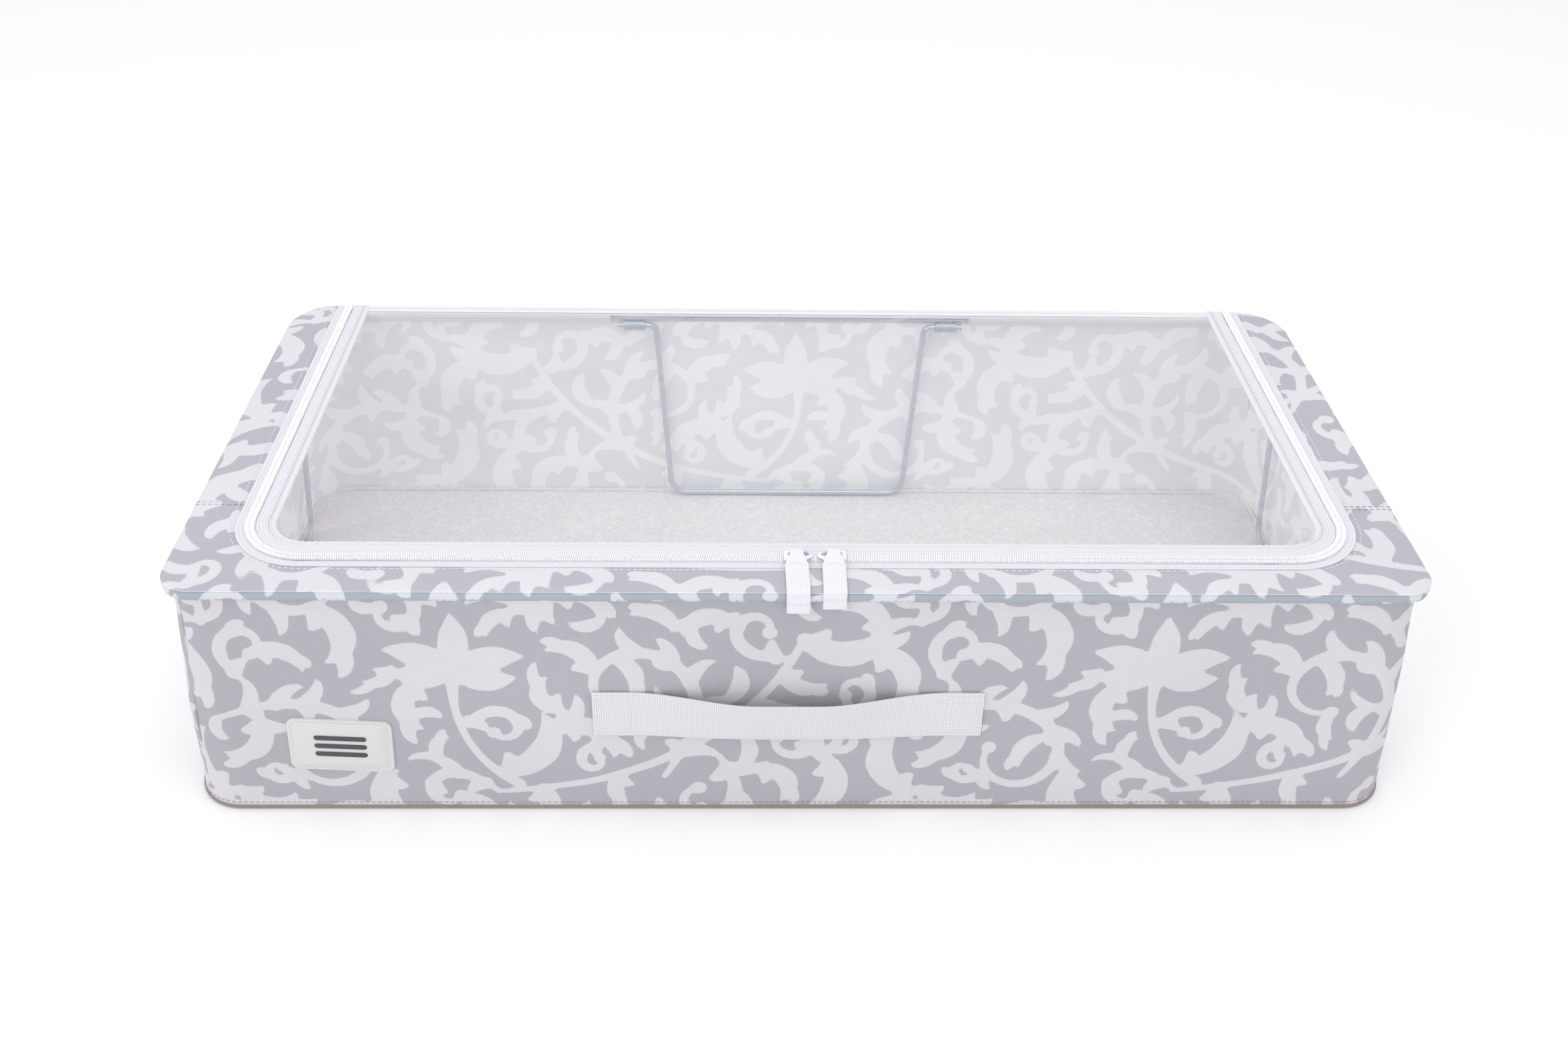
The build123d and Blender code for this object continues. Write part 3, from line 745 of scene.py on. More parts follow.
# ---------------------------------------------------------------- repeats along a line
def repeat_tree():
    """Geometry nodes: a small rounded bead repeated along lines, turned with them."""
    tree = bpy.data.node_groups.get("Beads along lines")
    if tree:
        return tree
    tree = bpy.data.node_groups.new("Beads along lines", "GeometryNodeTree")
    for name, kind, way in (
        ("Lines", "NodeSocketGeometry", "INPUT"),
        ("Pitch", "NodeSocketFloat", "INPUT"),
        ("Half Length", "NodeSocketFloat", "INPUT"),
        ("Half Width", "NodeSocketFloat", "INPUT"),
        ("Half Height", "NodeSocketFloat", "INPUT"),
        ("Material", "NodeSocketMaterial", "INPUT"),
        ("Beads", "NodeSocketGeometry", "OUTPUT"),
    ):
        tree.interface.new_socket(name=name, in_out=way, socket_type=kind)
    given = add(tree, "NodeGroupInput").outputs
    spaced = {"Curve": given["Lines"], "Length": given["Pitch"]}
    points = add(tree, "GeometryNodeCurveToPoints", spaced, mode="LENGTH")
    turn = add(
        tree,
        "FunctionNodeAxesToRotation",
        {0: points.outputs["Tangent"], 1: (0.0, 0.0, 1.0)},
        primary_axis="X",
        secondary_axis="Z",
    )
    bead = add(tree, "GeometryNodeMeshUVSphere", {"Segments": 8, "Rings": 5, "Radius": 1.0})
    size = add(
        tree,
        "ShaderNodeCombineXYZ",
        {0: given["Half Length"], 1: given["Half Width"], 2: given["Half Height"]},
    )
    beads = add(
        tree,
        "GeometryNodeInstanceOnPoints",
        {
            "Points": points.outputs["Points"],
            "Instance": bead.outputs["Mesh"],
            "Rotation": turn.outputs[0],
            "Scale": size.outputs[0],
        },
    )
    real = add(tree, "GeometryNodeRealizeInstances", {0: beads.outputs[0]})
    smooth = add(tree, "GeometryNodeSetShadeSmooth", {0: real.outputs[0]})
    dressed = {"Geometry": smooth.outputs[0], "Material": given["Material"]}
    finish = add(tree, "GeometryNodeSetMaterial", dressed)
    add(tree, "NodeGroupOutput", {0: finish.outputs[0]})
    return tree


def beads(name, lines, pitch, length, width, height, finish):
    """Repeats a bead along lines of points and returns it as a plain mesh. Sizes in millimetres."""
    curve = bpy.data.curves.new(name + "_lines", "CURVE")
    curve.dimensions = "3D"
    for line in lines:
        spline = curve.splines.new("POLY")
        spline.points.add(len(line) - 1)
        places = np.column_stack([line * MM, np.ones(len(line))])
        spline.points.foreach_set("co", places.astype(np.float32).ravel())
    source = bpy.data.objects.new(name + "_lines", curve)
    bpy.context.scene.collection.objects.link(source)
    modifier = source.modifiers.new("Beads", "NODES")
    tree = repeat_tree()
    modifier.node_group = tree
    values = {
        "Pitch": pitch * MM,
        "Half Length": length * MM / 2,
        "Half Width": width * MM / 2,
        "Half Height": height * MM / 2,
        "Material": finish,
    }
    for item in tree.interface.items_tree:
        if item.in_out == "INPUT" and item.name in values:
            modifier[item.identifier] = values[item.name]
    evaluated = source.evaluated_get(bpy.context.evaluated_depsgraph_get())
    mesh = bpy.data.meshes.new_from_object(evaluated)
    bpy.data.objects.remove(source)
    mesh.name = name
    piece = bpy.data.objects.new(name, mesh)
    bpy.context.scene.collection.objects.link(piece)
    return piece


def stitches(name, lines, body, slot, finish=None, pitch=None):
    """A piece made of running stitches along lines."""
    trim = bpy.context.scene.box_trim
    pitch = pitch or trim.stitch_pitch / MM
    size = trim.thread_width / MM
    piece = beads(name, lines, pitch, pitch * 0.74, size, size * 0.75, finish or thread())
    return settle(piece, body, slot)


# ---------------------------------------------------------------- settings
class BoxClothSettings(bpy.types.PropertyGroup):
    """Sizes of the cloth pieces."""

    unevenness: FloatProperty(
        name="Unevenness",
        description="How far the wall cloth moves in and out",
        default=0.0011,
        unit="LENGTH",
    )
    print_grid: FloatProperty(
        name="Print Grid",
        description="Spacing of the points that carry the print",
        default=0.0022,
        unit="LENGTH",
    )
    window_sag: FloatProperty(
        name="Window Sag",
        description="How far the clear film hangs in the middle",
        default=0.0025,
        unit="LENGTH",
    )


class BoxTrimSettings(bpy.types.PropertyGroup):
    """Sizes of the stitches and the zip."""

    stitch_pitch: FloatProperty(
        name="Stitch Pitch",
        description="From one stitch to the next",
        default=0.0036,
        unit="LENGTH",
    )
    thread_width: FloatProperty(
        name="Thread Width",
        description="Width of a stitch",
        default=0.0006,
        unit="LENGTH",
    )
    coil_pitch: FloatProperty(
        name="Coil Pitch",
        description="From one turn of the zip coil to the next",
        default=0.0013,
        unit="LENGTH",
    )


class BoxStageSettings(bpy.types.PropertyGroup):
    """The studio round the box."""

    lens: FloatProperty(name="Lens", description="Focal length in millimetres", default=35.25)
    tilt: FloatProperty(
        name="Tilt",
        description="How far the camera looks down",
        default=math.radians(35.36),
        subtype="ANGLE",
    )
    floor_colour: FloatVectorProperty(
        name="Floor Colour",
        description="Colour of the floor",
        default=rgb("#FBFBFC")[:3],
        subtype="COLOR",
    )


# ---------------------------------------------------------------- operators
def wall_grid(side, unevenness, step):
    """A wall's outer and inner points with their cloth coordinates, rows along it."""
    top_half = HEM_HALF - WALL_INSET
    reach = BASE_HALF[0] if side in ("front", "back") else BASE_HALF[1]
    straight = round(2 * (reach - BASE_CORNERS[0]) / step)
    base, base_out = side_plan(side, BASE_HALF, BASE_CORNERS, straight)
    top, top_out = side_plan(side, top_half, WALL_TOP_CORNERS, straight)
    levels = round((HEM_BOTTOM - BASE_TOP) / step)
    t = np.linspace(0, 1, levels + 1)[None, :, None]
    outer = base[:, None] * (1 - t) + top[:, None] * t
    out = base_out[:, None] * (1 - t) + top_out[:, None] * t
    out /= np.linalg.norm(out, axis=2, keepdims=True)
    s = length_along((base + top) / 2)
    u = np.broadcast_to((s - s[-1] / 2)[:, None], outer.shape[:2])
    height = BASE_TOP + t[..., 0] * (HEM_BOTTOM - BASE_TOP)
    v = np.broadcast_to(height, outer.shape[:2])
    mask = np.clip(t[..., 0] / 0.12, 0, 1) * np.clip((1 - t[..., 0]) / 0.12, 0, 1)
    if side == "front":
        # The cloth lies flat behind the label and the sewn ends of the handle.
        for node, spread in (("label_patch", 26.0), ("handle_strap", 22.0)):
            low, high = span(node)
            away_u = np.maximum(np.maximum(low[0] - u, u - high[0]), 0)
            away_v = np.maximum(np.maximum(low[2] - v, v - high[2]), 0)
            mask = mask * np.clip(np.hypot(away_u, away_v) / spread - 0.15, 0, 1)
    bulge = unevenness * mask * (ripple(u, v, len(side), 130.0) + 0.35 * ripple(u, v, 5, 48.0))
    outer = outer + out * bulge[..., None]
    inner = outer - out * CLOTH
    z = v[..., None]
    ring = np.concatenate(
        [np.concatenate([outer, z], axis=2), np.concatenate([inner, z], axis=2)[:, ::-1]], axis=1
    )
    uv = np.stack([u, v], axis=2)
    return ring, np.concatenate([uv, uv[:, ::-1]], axis=1), levels


class BOX_OT_walls(bpy.types.Operator):
    """Make the four printed cloth walls"""

    bl_idname = "box.walls"
    bl_label = "Walls"

    def execute(self, context):
        cloth = context.scene.box_cloth
        start = 0.0
        for side in SIDES:
            ring, uv, levels = wall_grid(side, cloth.unevenness / MM, cloth.print_grid / MM)
            width = uv[-1, 0, 0] - uv[0, 0, 0]
            if side != "front":
                start += width / 2
                uv = uv + (start, 0)
            start += width / 2
            finishes = (outer_cloth(), inner_cloth())
            piece = skin("panel_" + side, ring, uv, printed(uv), finishes=finishes, back_from=levels + 1)
            settle(piece, ROOT, "printed_cloth", "wall_" + side)
        return {"FINISHED"}


# The casing's profiles: (inset, height) pairs from its foot, drawn for a hem of this height. Closed is
# where it wraps the wire; open is its mouth by the legs.
CASING_HEIGHT = 9.3
CASING_OUTER = (
    (7.5, 0.4), (5.0, 0.0), (3.0, 0.2), (1.2, 1.2), (0.3, 2.8), (0.0, 5.0),
    (0.1, 7.4), (0.7, 8.7), (2.0, 9.2), (6.0, 9.25), (9.5, 9.25),
)  # fmt: skip
CASING_CLOSED = (
    (8.6, 0.9), (9.2, 1.8), (9.5, 2.8), (9.6, 3.8), (9.6, 4.7), (9.6, 5.6),
    (9.6, 6.4), (9.6, 7.2), (9.6, 7.9), (9.6, 8.5), (9.6, 9.0),
)  # fmt: skip
CASING_OPEN = (
    (4.6, 1.0), (4.0, 1.1), (3.4, 1.3), (2.2, 2.0), (1.5, 3.3), (1.2, 5.0),
    (1.3, 7.1), (1.7, 7.9), (2.5, 8.05), (6.0, 8.1), (9.5, 8.1),
)  # fmt: skip


class BOX_OT_casings(bpy.types.Operator):
    """Make the rolled hem round the top that holds the wire ring"""

    bl_idname = "box.casings"
    bl_label = "Hem Casings"

    def execute(self, context):
        for side in SIDES:
            long_side = side in ("front", "back")
            straight = 260 if long_side else 120
            plan, out = side_plan(side, HEM_HALF, HEM_CORNERS, straight)
            along = np.array(SIDES[side][0], float)
            opened = np.abs(plan @ along) < LEG_HALF[side] + CASING_STUB
            outer = np.array(CASING_OUTER)
            pinched = np.minimum(outer, (4.6, 99.0))
            pinched[8:, 0] = outer[8:, 0]
            rings = np.where(
                opened[:, None, None],
                np.concatenate([pinched, np.array(CASING_OPEN)[::-1]])[None],
                np.concatenate([outer, np.array(CASING_CLOSED)[::-1]])[None],
            )
            s = length_along(plan)
            pucker = 0.25 * np.sin(s / 3.6 * math.tau / 2) * (rings[..., 1].T < 3.4)
            inset = rings[..., 0] + pucker.T * 0.6
            xy = plan[:, None] - out[:, None] * inset[..., None]
            z = HEM_BOTTOM + rings[..., 1] * HEM_HEIGHT / CASING_HEIGHT
            points = np.concatenate([xy, z[..., None]], axis=2)
            uv = plan[:, None] + out[:, None] * (RIM_TOP - z)[..., None]
            finish = pale_tape() if side == "back" else casing_cloth()
            piece = skin("casing_" + side, points, uv, printed(uv), finishes=(finish,), sharp=60)
            settle(piece, ROOT, "printed_cloth", "hem_" + side)
        return {"FINISHED"}


RIM_COLUMNS = 15  # points across the rim's upper face
RIM_ROLL = 0.9  # how far and how fast its edges turn down


class BOX_OT_rim(bpy.types.Operator):
    """Make the cloth rim on top: a front piece and two side strips"""

    bl_idname = "box.rim"
    bl_label = "Rim"

    def rim(self, name, outer, inner, node, fold_at):
        across = np.linspace(0, 1, RIM_COLUMNS)[None, :, None]
        xy = outer[:, None] * (1 - across) + inner[:, None] * across
        width = np.linalg.norm(outer - inner, axis=1)[:, None]
        t = np.broadcast_to(across[..., 0], xy.shape[:2])
        edge = np.minimum(t, 1 - t) * width
        wave = 0.3 * ripple(xy[..., 0], xy[..., 1], 3, 70.0) * np.clip(edge / 6, 0, 1)
        z = RIM_TOP - RIM_ROLL * np.exp(-edge / RIM_ROLL) + wave
        s = length_along((outer + inner) / 2)[:, None]
        for end in fold_at:
            z = z + 0.225 * (1 - np.tanh(np.abs(s - s[end]) - 6.0))
        top = np.concatenate([xy, z[..., None]], axis=2)
        bottom = np.concatenate([xy, np.full_like(z, HEM_TOP + 0.05)[..., None]], axis=2)[:, ::-1]
        ring = np.concatenate([top, bottom], axis=1)
        uv = ring[..., :2]
        finishes = (rim_cloth(), inner_cloth())
        piece = skin(name, ring, uv, printed(uv), finishes=finishes, back_from=RIM_COLUMNS, sharp=60)
        settle(piece, ROOT, "printed_cloth", node)

    def execute(self, context):
        counts = {"side": 26, "arc": 22, "front": 270}
        outer = u_plan(HEM_HALF[0], -HEM_HALF[1], HEM_CORNERS[0], RIM_SEAM, **counts)[0]
        inner = u_plan(OPENING_X, OPENING_FRONT, OPENING_CORNER, RIM_SEAM, **counts)[0]
        self.rim("top_rim_front", outer, inner, "rim_front", (0, -1))
        y = np.linspace(RIM_SEAM + 0.05, HEM_HALF[1] - 0.1, 110)
        corner = HEM_CORNERS[1]
        bend = np.clip(y - (HEM_HALF[1] - corner), 0, None)
        edge = HEM_HALF[0] - corner + np.sqrt(corner**2 - bend**2)
        for side, sign in (("left", -1), ("right", 1)):
            outer = np.stack([sign * edge, y], axis=1)
            inner = np.stack([np.full_like(y, sign * OPENING_X), y], axis=1)
            self.rim("top_rim_" + side, outer, inner, "rim_" + side, ())
        return {"FINISHED"}


def opening(back_y):
    """The zipped opening's plan, as far back as asked."""
    return u_plan(OPENING_X, OPENING_FRONT, OPENING_CORNER, back_y)


def band(name, node, body, slot, back_y, profile, finish):
    """A strip that follows the opening, from a closed profile of (inset, height) pairs."""
    plan = opening(back_y)
    piece = skin(name, carry(plan, profile), strip_uv(plan, profile), finishes=(finish,), sharp=60)
    return settle(piece, body, slot, node)


class BOX_OT_zip(bpy.types.Operator):
    """Make the zip's two woven tapes and its two nylon coils"""

    bl_idname = "box.zip"
    bl_label = "Zip"

    def execute(self, context):
        pitch = context.scene.box_trim.coil_pitch / MM
        for name, body, back_y, near in (
            ("outer", ROOT, ROOT_ZIP_BACK, 0.0),
            ("inner", "lid", LID_BACK, inset_of("window_binding")),
        ):
            node = "zip_tape_" + name
            low, high = span(node)[0][2], span(node)[1][2]
            far = inset_of("zip_coil_outer") if name == "outer" else inset_of("zip_tape_inner")
            # The tape's bead lies under the coil; a shallow step marks where the seam holds it.
            across = (0.0, 0.4, 0.48, 0.7, 0.9, 1.0)
            drop = (0.0, 0.0, 0.12, 0.05, 0.0, 0.2)
            top = [(near + (far - near) * a, high - d) for a, d in zip(across, drop)]
            profile = top + [(a, low) for a, _ in top[::-1]]
            band(name + "_zip_tape", node, body, "zip_tape", back_y, profile, zip_tape())
            coil = "zip_coil_" + name
            low, high = span(coil)[0][2], span(coil)[1][2]
            start = inset_of(coil)
            wide = abs(inset_of("zip_tape_inner") - inset_of("zip_coil_inner"))
            reach = wide + 1.1  # each tooth passes the zip's centre line
            middle = start + reach / 2 if name == "outer" else start + wide - reach / 2
            plan, inward = opening(back_y)
            line = np.column_stack([plan + inward * middle, np.full(len(plan), (low + high) / 2 + 0.15)])
            if name == "inner":
                line[0, 1] -= pitch / 2
            teeth = beads(name + "_zip_coil", [line], pitch, pitch * 0.98, reach, high - low, coil_nylon())
            settle(teeth, body, "zip_coil", coil)
        return {"FINISHED"}


def crowned(start, width, low, high, points=7):
    """A folded tape's closed profile: rounded edges and a soft crown."""
    t = np.linspace(0, 1, points)
    rise = np.clip(np.sin(math.pi * t), 0, 1) ** 0.35
    top = [(start + width * a, low + 0.25 + (high - low - 0.25) * b) for a, b in zip(t, rise)]
    bottom = [(start + width * a, low) for a in t[::-1]]
    return top + bottom


class BOX_OT_window(bpy.types.Operator):
    """Make the clear window and the tape that binds its edge"""

    bl_idname = "box.window"
    bl_label = "Window"

    def execute(self, context):
        low, high = span("window_binding")
        start = inset_of("window_binding")
        width = inset_of("window_sheet") - start
        profile = crowned(start, width, low[2], high[2] + 0.1)
        band("binding_round_window", "window_binding", "lid", "binding_tape", LID_BACK, profile, pale_tape())

        low, high = span("window_back_binding")
        x = np.linspace(low[0], high[0], 120)
        profile = np.array(crowned(low[1], high[1] - low[1], low[2], high[2] + 0.1))
        points = np.empty((len(x), len(profile), 3))
        points[..., 0] = x[:, None]
        points[..., 1:] = profile
        piece = skin("binding_behind_window", points, points[..., :2], finishes=(pale_tape(),), sharp=60)
        settle(piece, "lid", "binding_tape", "window_back_binding")

        self.film(context.scene.box_cloth.window_sag / MM)
        return {"FINISHED"}

    def film(self, sag):
        low, high = span("window_sheet")
        tuck = 2.5  # the film's edge lies inside the binding
        front, back, half = low[1] - tuck, high[1] + tuck, high[0] + tuck
        radius = OPENING_CORNER - inset_of("window_sheet") + tuck
        round_front = front + radius * (1 - np.cos(np.linspace(0, math.pi / 2, 12)))
        y = np.concatenate([round_front[:-1], np.linspace(front + radius, back, 84)])
        bend = np.clip(front + radius - y, 0, radius)
        edge = half - radius + np.sqrt(np.clip(radius**2 - bend**2, 0, None))
        t = np.linspace(-1, 1, 200)
        x = edge[:, None] * t[None, :]
        y = np.broadcast_to(y[:, None], x.shape)
        inside = np.clip(np.minimum(half - np.abs(x), np.minimum(y - front, back - y)) / 40.0, 0, 1)
        z = (low[2] + high[2]) / 2 - sag * (1 - (x / half) ** 2) * inside
        rng = random.Random(4)
        # Shallow creases fan inwards from each corner and from four places where the stitches pull.
        pulls = (
            (-half, front), (half, front), (-half, back), (half, back),
            (-110, back), (110, back), (40, front), (-130, front),
        )  # fmt: skip
        for cx, cy in pulls:
            for _ in range(4):
                aim = math.atan2((front + back) / 2 - cy, -cx * 0.8) + rng.uniform(-0.55, 0.55)
                reach, wide, deep = rng.uniform(60, 150), rng.uniform(3.0, 6.5), rng.uniform(0.5, 1.3)
                along = (x - cx) * math.cos(aim) + (y - cy) * math.sin(aim)
                sway = 5.0 * np.sin(along / 40.0 + rng.uniform(0, 6))
                off = -(x - cx) * math.sin(aim) + (y - cy) * math.cos(aim) + sway
                fade = np.clip(along / 14.0, 0, 1) * np.clip(1 - along / reach, 0, 1)
                z = z + deep * fade * np.exp(-((off / wide) ** 2)) * np.clip(inside * 4, 0, 1)
        z = z + 0.35 * ripple(x, y, 8, 60.0) * inside
        top = np.stack([x, y, z + 0.2], axis=2)
        under = np.stack([x, y, z - 0.2], axis=2)[:, ::-1]
        ring = np.concatenate([top, under], axis=1)
        piece = skin("clear_film", ring, finishes=(clear_film(),), sharp=80)
        settle(piece, "lid", "clear_window", "window_sheet")


class BOX_OT_base(bpy.types.Operator):
    """Make the floor lining, the base cloth and the welts round them"""

    bl_idname = "box.base"
    bl_label = "Base"

    def slab(self, name, node, half, corners, low, high, finish, uneven):
        plan = loop_plan(half, corners)[0]
        n = len(plan)
        shares = np.concatenate([[1.0], np.linspace(0.985, 0.02, 44)])
        xy = plan[:, None] * shares[None, :, None]
        inside = np.clip((1 - shares) / 0.06, 0, 1)[None, :]
        top = high + uneven * ripple(xy[..., 0], xy[..., 1], 12, 90.0) * inside
        upper = np.concatenate([xy, np.broadcast_to(top, xy.shape[:2])[..., None]], axis=2)
        lower = np.concatenate([xy, np.full(xy.shape[:2] + (1,), low)], axis=2)[:, ::-1]
        points = np.concatenate([upper, lower], axis=1)
        flat_points = points.reshape(-1, 3)
        cols = points.shape[1]
        index = np.arange(n * cols).reshape(n, cols)
        ahead = np.roll(index, -1, axis=0)
        quads = np.stack([index[:, :-1], index[:, 1:], ahead[:, 1:], ahead[:, :-1]], axis=-1)
        middle = cols // 2 - 1
        keep = np.arange(cols - 1) != middle
        rim = np.stack([index[:, -1], index[:, 0], ahead[:, 0], ahead[:, -1]], axis=-1)
        faces = quads[:, keep].reshape(-1, 4).tolist() + rim.tolist()
        faces.append(index[:, middle].tolist())
        faces.append(index[:, middle + 1].tolist())
        piece = mesh_object(name, flat_points, faces, flat_points[:, :2], finishes=(finish,))
        settle(piece, ROOT, {"base_lining": "lining"}.get(node, "base_cloth"), node)
        return piece

    def welt(self, name, plan, inset, height, radius, finish, slot):
        points, out = plan
        line = np.column_stack([points - out * inset, np.full(len(points), height)])
        ring = np.stack(
            [
                np.column_stack([line[:, :2] + out * radius * c, line[:, 2] + radius * s])
                for c, s in ((math.cos(a), math.sin(a)) for a in np.linspace(0, math.tau, 10, endpoint=False))
            ],
            axis=1,
        )
        s = length_along(points)
        uv = np.stack(np.broadcast_arrays(s[:, None], np.arange(10)[None, :] * radius * 0.63), axis=2)
        settle(skin(name, ring, uv, loop=True, finishes=(finish,)), ROOT, slot)

    def execute(self, context):
        inset = BASE_HALF[0] - span("base_lining")[1][0]
        half = BASE_HALF - inset
        corners = (BASE_CORNERS[0] - inset, BASE_CORNERS[1] - inset)
        piece = self.slab(
            "floor_lining", "base_lining", half, corners, LINING_BOTTOM, FLOOR_TOP - 0.2, crepe(), 0.35
        )
        self.slab("base_cloth", "bottom_panel", BASE_HALF, BASE_CORNERS, 0.0, BASE_TOP, base_cloth(), 0.0)
        plan = loop_plan(BASE_HALF, BASE_CORNERS)
        self.welt("base_welt", plan, 0.4, 1.35, 1.3, welt_cloth(), "base_cloth")
        self.welt("floor_welt", plan, 3.3, FLOOR_TOP + 0.6, 1.5, crepe(), "lining")
        return {"FINISHED"}


def slider_outline(nose):
    """A zip slider's teardrop plan, nose towards +X or -X."""
    half = (
        (-8.0, 3.6), (-7.6, 4.4), (-6.6, 4.7), (-3.5, 4.8), (0.0, 5.0), (2.2, 4.9),
        (4.2, 4.1), (5.9, 2.9), (7.2, 1.9), (7.9, 1.0), (8.1, 0.0),
    )  # fmt: skip
    outline = np.array([(x, y) for x, y in half] + [(x, -y) for x, y in half[-2::-1]])
    return outline * (nose, 1)


# Levels of a slider's parts as (inwards, height) pairs: the domed top plate, the two side flanges
# that hang from it, and the lower plate.
SLIDER_TOP = ((0.5, 0.0), (0.0, 0.35), (0.0, 0.8), (0.45, 1.2), (1.8, 1.5), (3.4, 1.6))
SLIDER_FLANGE = ((0.05, -1.2), (0.0, -0.6), (0.0, 0.1))
SLIDER_FOOT = ((0.1, 0.0), (0.0, 0.3), (0.0, 0.9), (0.1, 1.2))


def raised(levels, base):
    """The same levels above a base height."""
    return [(inward, base + z) for inward, z in levels]


class BOX_OT_sliders(bpy.types.Operator):
    """Make the two lacquered sliders and their bridges"""

    bl_idname = "box.sliders"
    bl_label = "Sliders"

    def execute(self, context):
        for side, nose in (("left", 1), ("right", -1)):
            node = "slider_" + side
            low, high = span(node)
            bridge_low, bridge_high = span("slider_bridge_" + side)
            middle = np.array([(bridge_low[0] + bridge_high[0]) / 2, ZIP_CENTRE])
            plate = high[2] - 1.2
            flange = rounded(7.0, 0.8, 0.3)
            lower = slider_outline(nose)
            lower[:, 1] = np.clip(lower[:, 1], -0.3, None)
            parts = (
                (slider_outline(nose), raised(SLIDER_TOP, plate)),
                (flange + (0, 4.6), raised(SLIDER_FLANGE, plate)),
                (flange - (0, 4.6), raised(SLIDER_FLANGE, plate)),
                (rounded(6.0, 0.6, 0.25), ((0.0, low[2] + 1.1), (0.0, plate + 0.1))),
                (lower, raised(SLIDER_FOOT, low[2])),
            )
            points, faces = [], []
            for outline, levels in parts:
                some, more = stack(outline + middle, levels)
                faces += [tuple(i + len(points) for i in face) for face in more]
                points += some.tolist()
            points = np.array(points)
            piece = mesh_object("zip_slider_" + side, points, faces, finishes=(lacquer(),), sharp=65)
            settle(piece, BODY_OF[node], "slider_lacquer", node)

            turn = np.radians(np.linspace(180, 0, 25))
            reach, foot = (bridge_high[0] - bridge_low[0]) / 2 - 0.8, high[2] - 0.2
            rise = bridge_high[2] - 0.8 - foot
            arch = np.stack(
                [
                    middle[0] + reach * np.sign(np.cos(turn)) * np.abs(np.cos(turn)) ** 0.55,
                    np.full(25, ZIP_CENTRE),
                    foot + rise * np.sin(turn) ** 0.6,
                ],
                axis=1,
            )
            ring = tube(smooth_line(arch, 0.5, 2), 0.8, 0.8, 12)
            piece = skin("zip_bridge_" + side, ring, finishes=(nickel(),), sharp=80)
            settle(piece, BODY_OF["slider_bridge_" + side], "bridge_steel", "slider_bridge_" + side)
        return {"FINISHED"}


def ribbon(name, line, across, half_width, thickness, finish, columns=9):
    """A flat strap along a line: across is its sideways direction, half widths and thicknesses per point."""
    line = np.asarray(line, float)
    ahead = np.gradient(line, axis=0)
    ahead /= np.linalg.norm(ahead, axis=1, keepdims=True)
    across = np.asarray(across, float)
    up = np.cross(ahead, across)
    up /= np.linalg.norm(up, axis=1, keepdims=True)
    t = np.linspace(-1, 1, columns)
    sizes = (half_width, thickness)
    half_width, thickness = (np.broadcast_to(np.asarray(v, float), len(line)) for v in sizes)
    edge = np.clip((1 - np.abs(t)) * 6, 0.35, 1)
    sideways = np.broadcast_to(across, line.shape)[:, None]
    flat = line[:, None] + sideways * (half_width[:, None] * t)[..., None]
    lift = up[:, None] * (thickness[:, None] / 2 * edge)[..., None]
    ring = np.concatenate([flat + lift, (flat - lift)[:, ::-1]], axis=1)
    s = length_along(line)
    uv = np.stack([np.broadcast_to(s[:, None], (len(s), columns)), half_width[:, None] * t], axis=2)
    return skin(name, ring, np.concatenate([uv, uv[:, ::-1]], axis=1), finishes=(finish,), sharp=60)


class BOX_OT_tabs(bpy.types.Operator):
    """Make the two tape tabs, each looped round its slider's bridge"""

    bl_idname = "box.tabs"
    bl_label = "Pull Tabs"

    def execute(self, context):
        for side, extra, slant in (("left", 3.0, 0.5), ("right", 0.0, -0.15)):
            node = "pull_tab_" + side
            low, high = span(node)
            bar_high = span("slider_bridge_" + side)[1]
            x, pivot = (low[0] + high[0]) / 2, bar_high[2] - 0.8
            turn = np.radians(np.arange(-100, 91, 12))
            loop = np.stack([ZIP_CENTRE + 1.32 * np.cos(turn), pivot + 1.32 * np.sin(turn)], axis=1)
            flat_z, front_y = RIM_TOP + 0.95, low[1] + 0.5
            run = [
                (ZIP_CENTRE - 5.5, pivot + 0.1),
                (ZIP_CENTRE - 11, flat_z + 0.3),
                (ZIP_CENTRE - 14, flat_z),
                (front_y + 1.0, flat_z),
                (front_y, flat_z - 1.0),
                (front_y, low[2] - extra),
            ]
            yz = np.concatenate([loop, smooth_line([loop[-1]] + run, 0.6, 4)[1:]])
            s = length_along(yz)
            line = np.column_stack([x + slant * np.clip(s - 14, 0, None) * 0.04, yz])
            half = np.interp(s, [0, 5.5, 8.0, 14.0, s[-1]], [3.4, 3.4, 4.2, 6.5, 6.5])
            end = s[-1]
            hem = [end - 8.6, end - 8.0, end - 7.2, end - 6.6, end - 1.8, end - 1.2, end]
            thick = np.interp(s, [0, 5.0, 9.0] + hem, [0.7, 0.7, 0.9, 0.9, 1.7, 1.7, 1.15, 1.15, 1.6, 1.3])
            piece = ribbon("tape_tab_" + side, line, (1.0, 0, 0), half, thick, pull_tape())
            settle(piece, BODY_OF[node], "tab_tape", node)
            fold = front_y - 0.72
            rows = []
            for up in (1.4, 6.0):
                z = low[2] - extra + up
                shift = slant * (s[-1] - up - 14) * 0.04
                rows.append(flat_line([(x + shift - 5.6, fold, z), (x + shift + 5.6, fold, z)], 0.8))
            top = np.linspace(-4.2, 4.2, 12)
            curve = ZIP_CENTRE - 8.6 - 0.06 * top**2
            rows.append(np.column_stack([x + top, curve, np.full(12, pivot - 0.6)]))
            stitches("tab_stitches_" + side, rows, BODY_OF[node], "tab_tape", pitch=1.9)
        return {"FINISHED"}


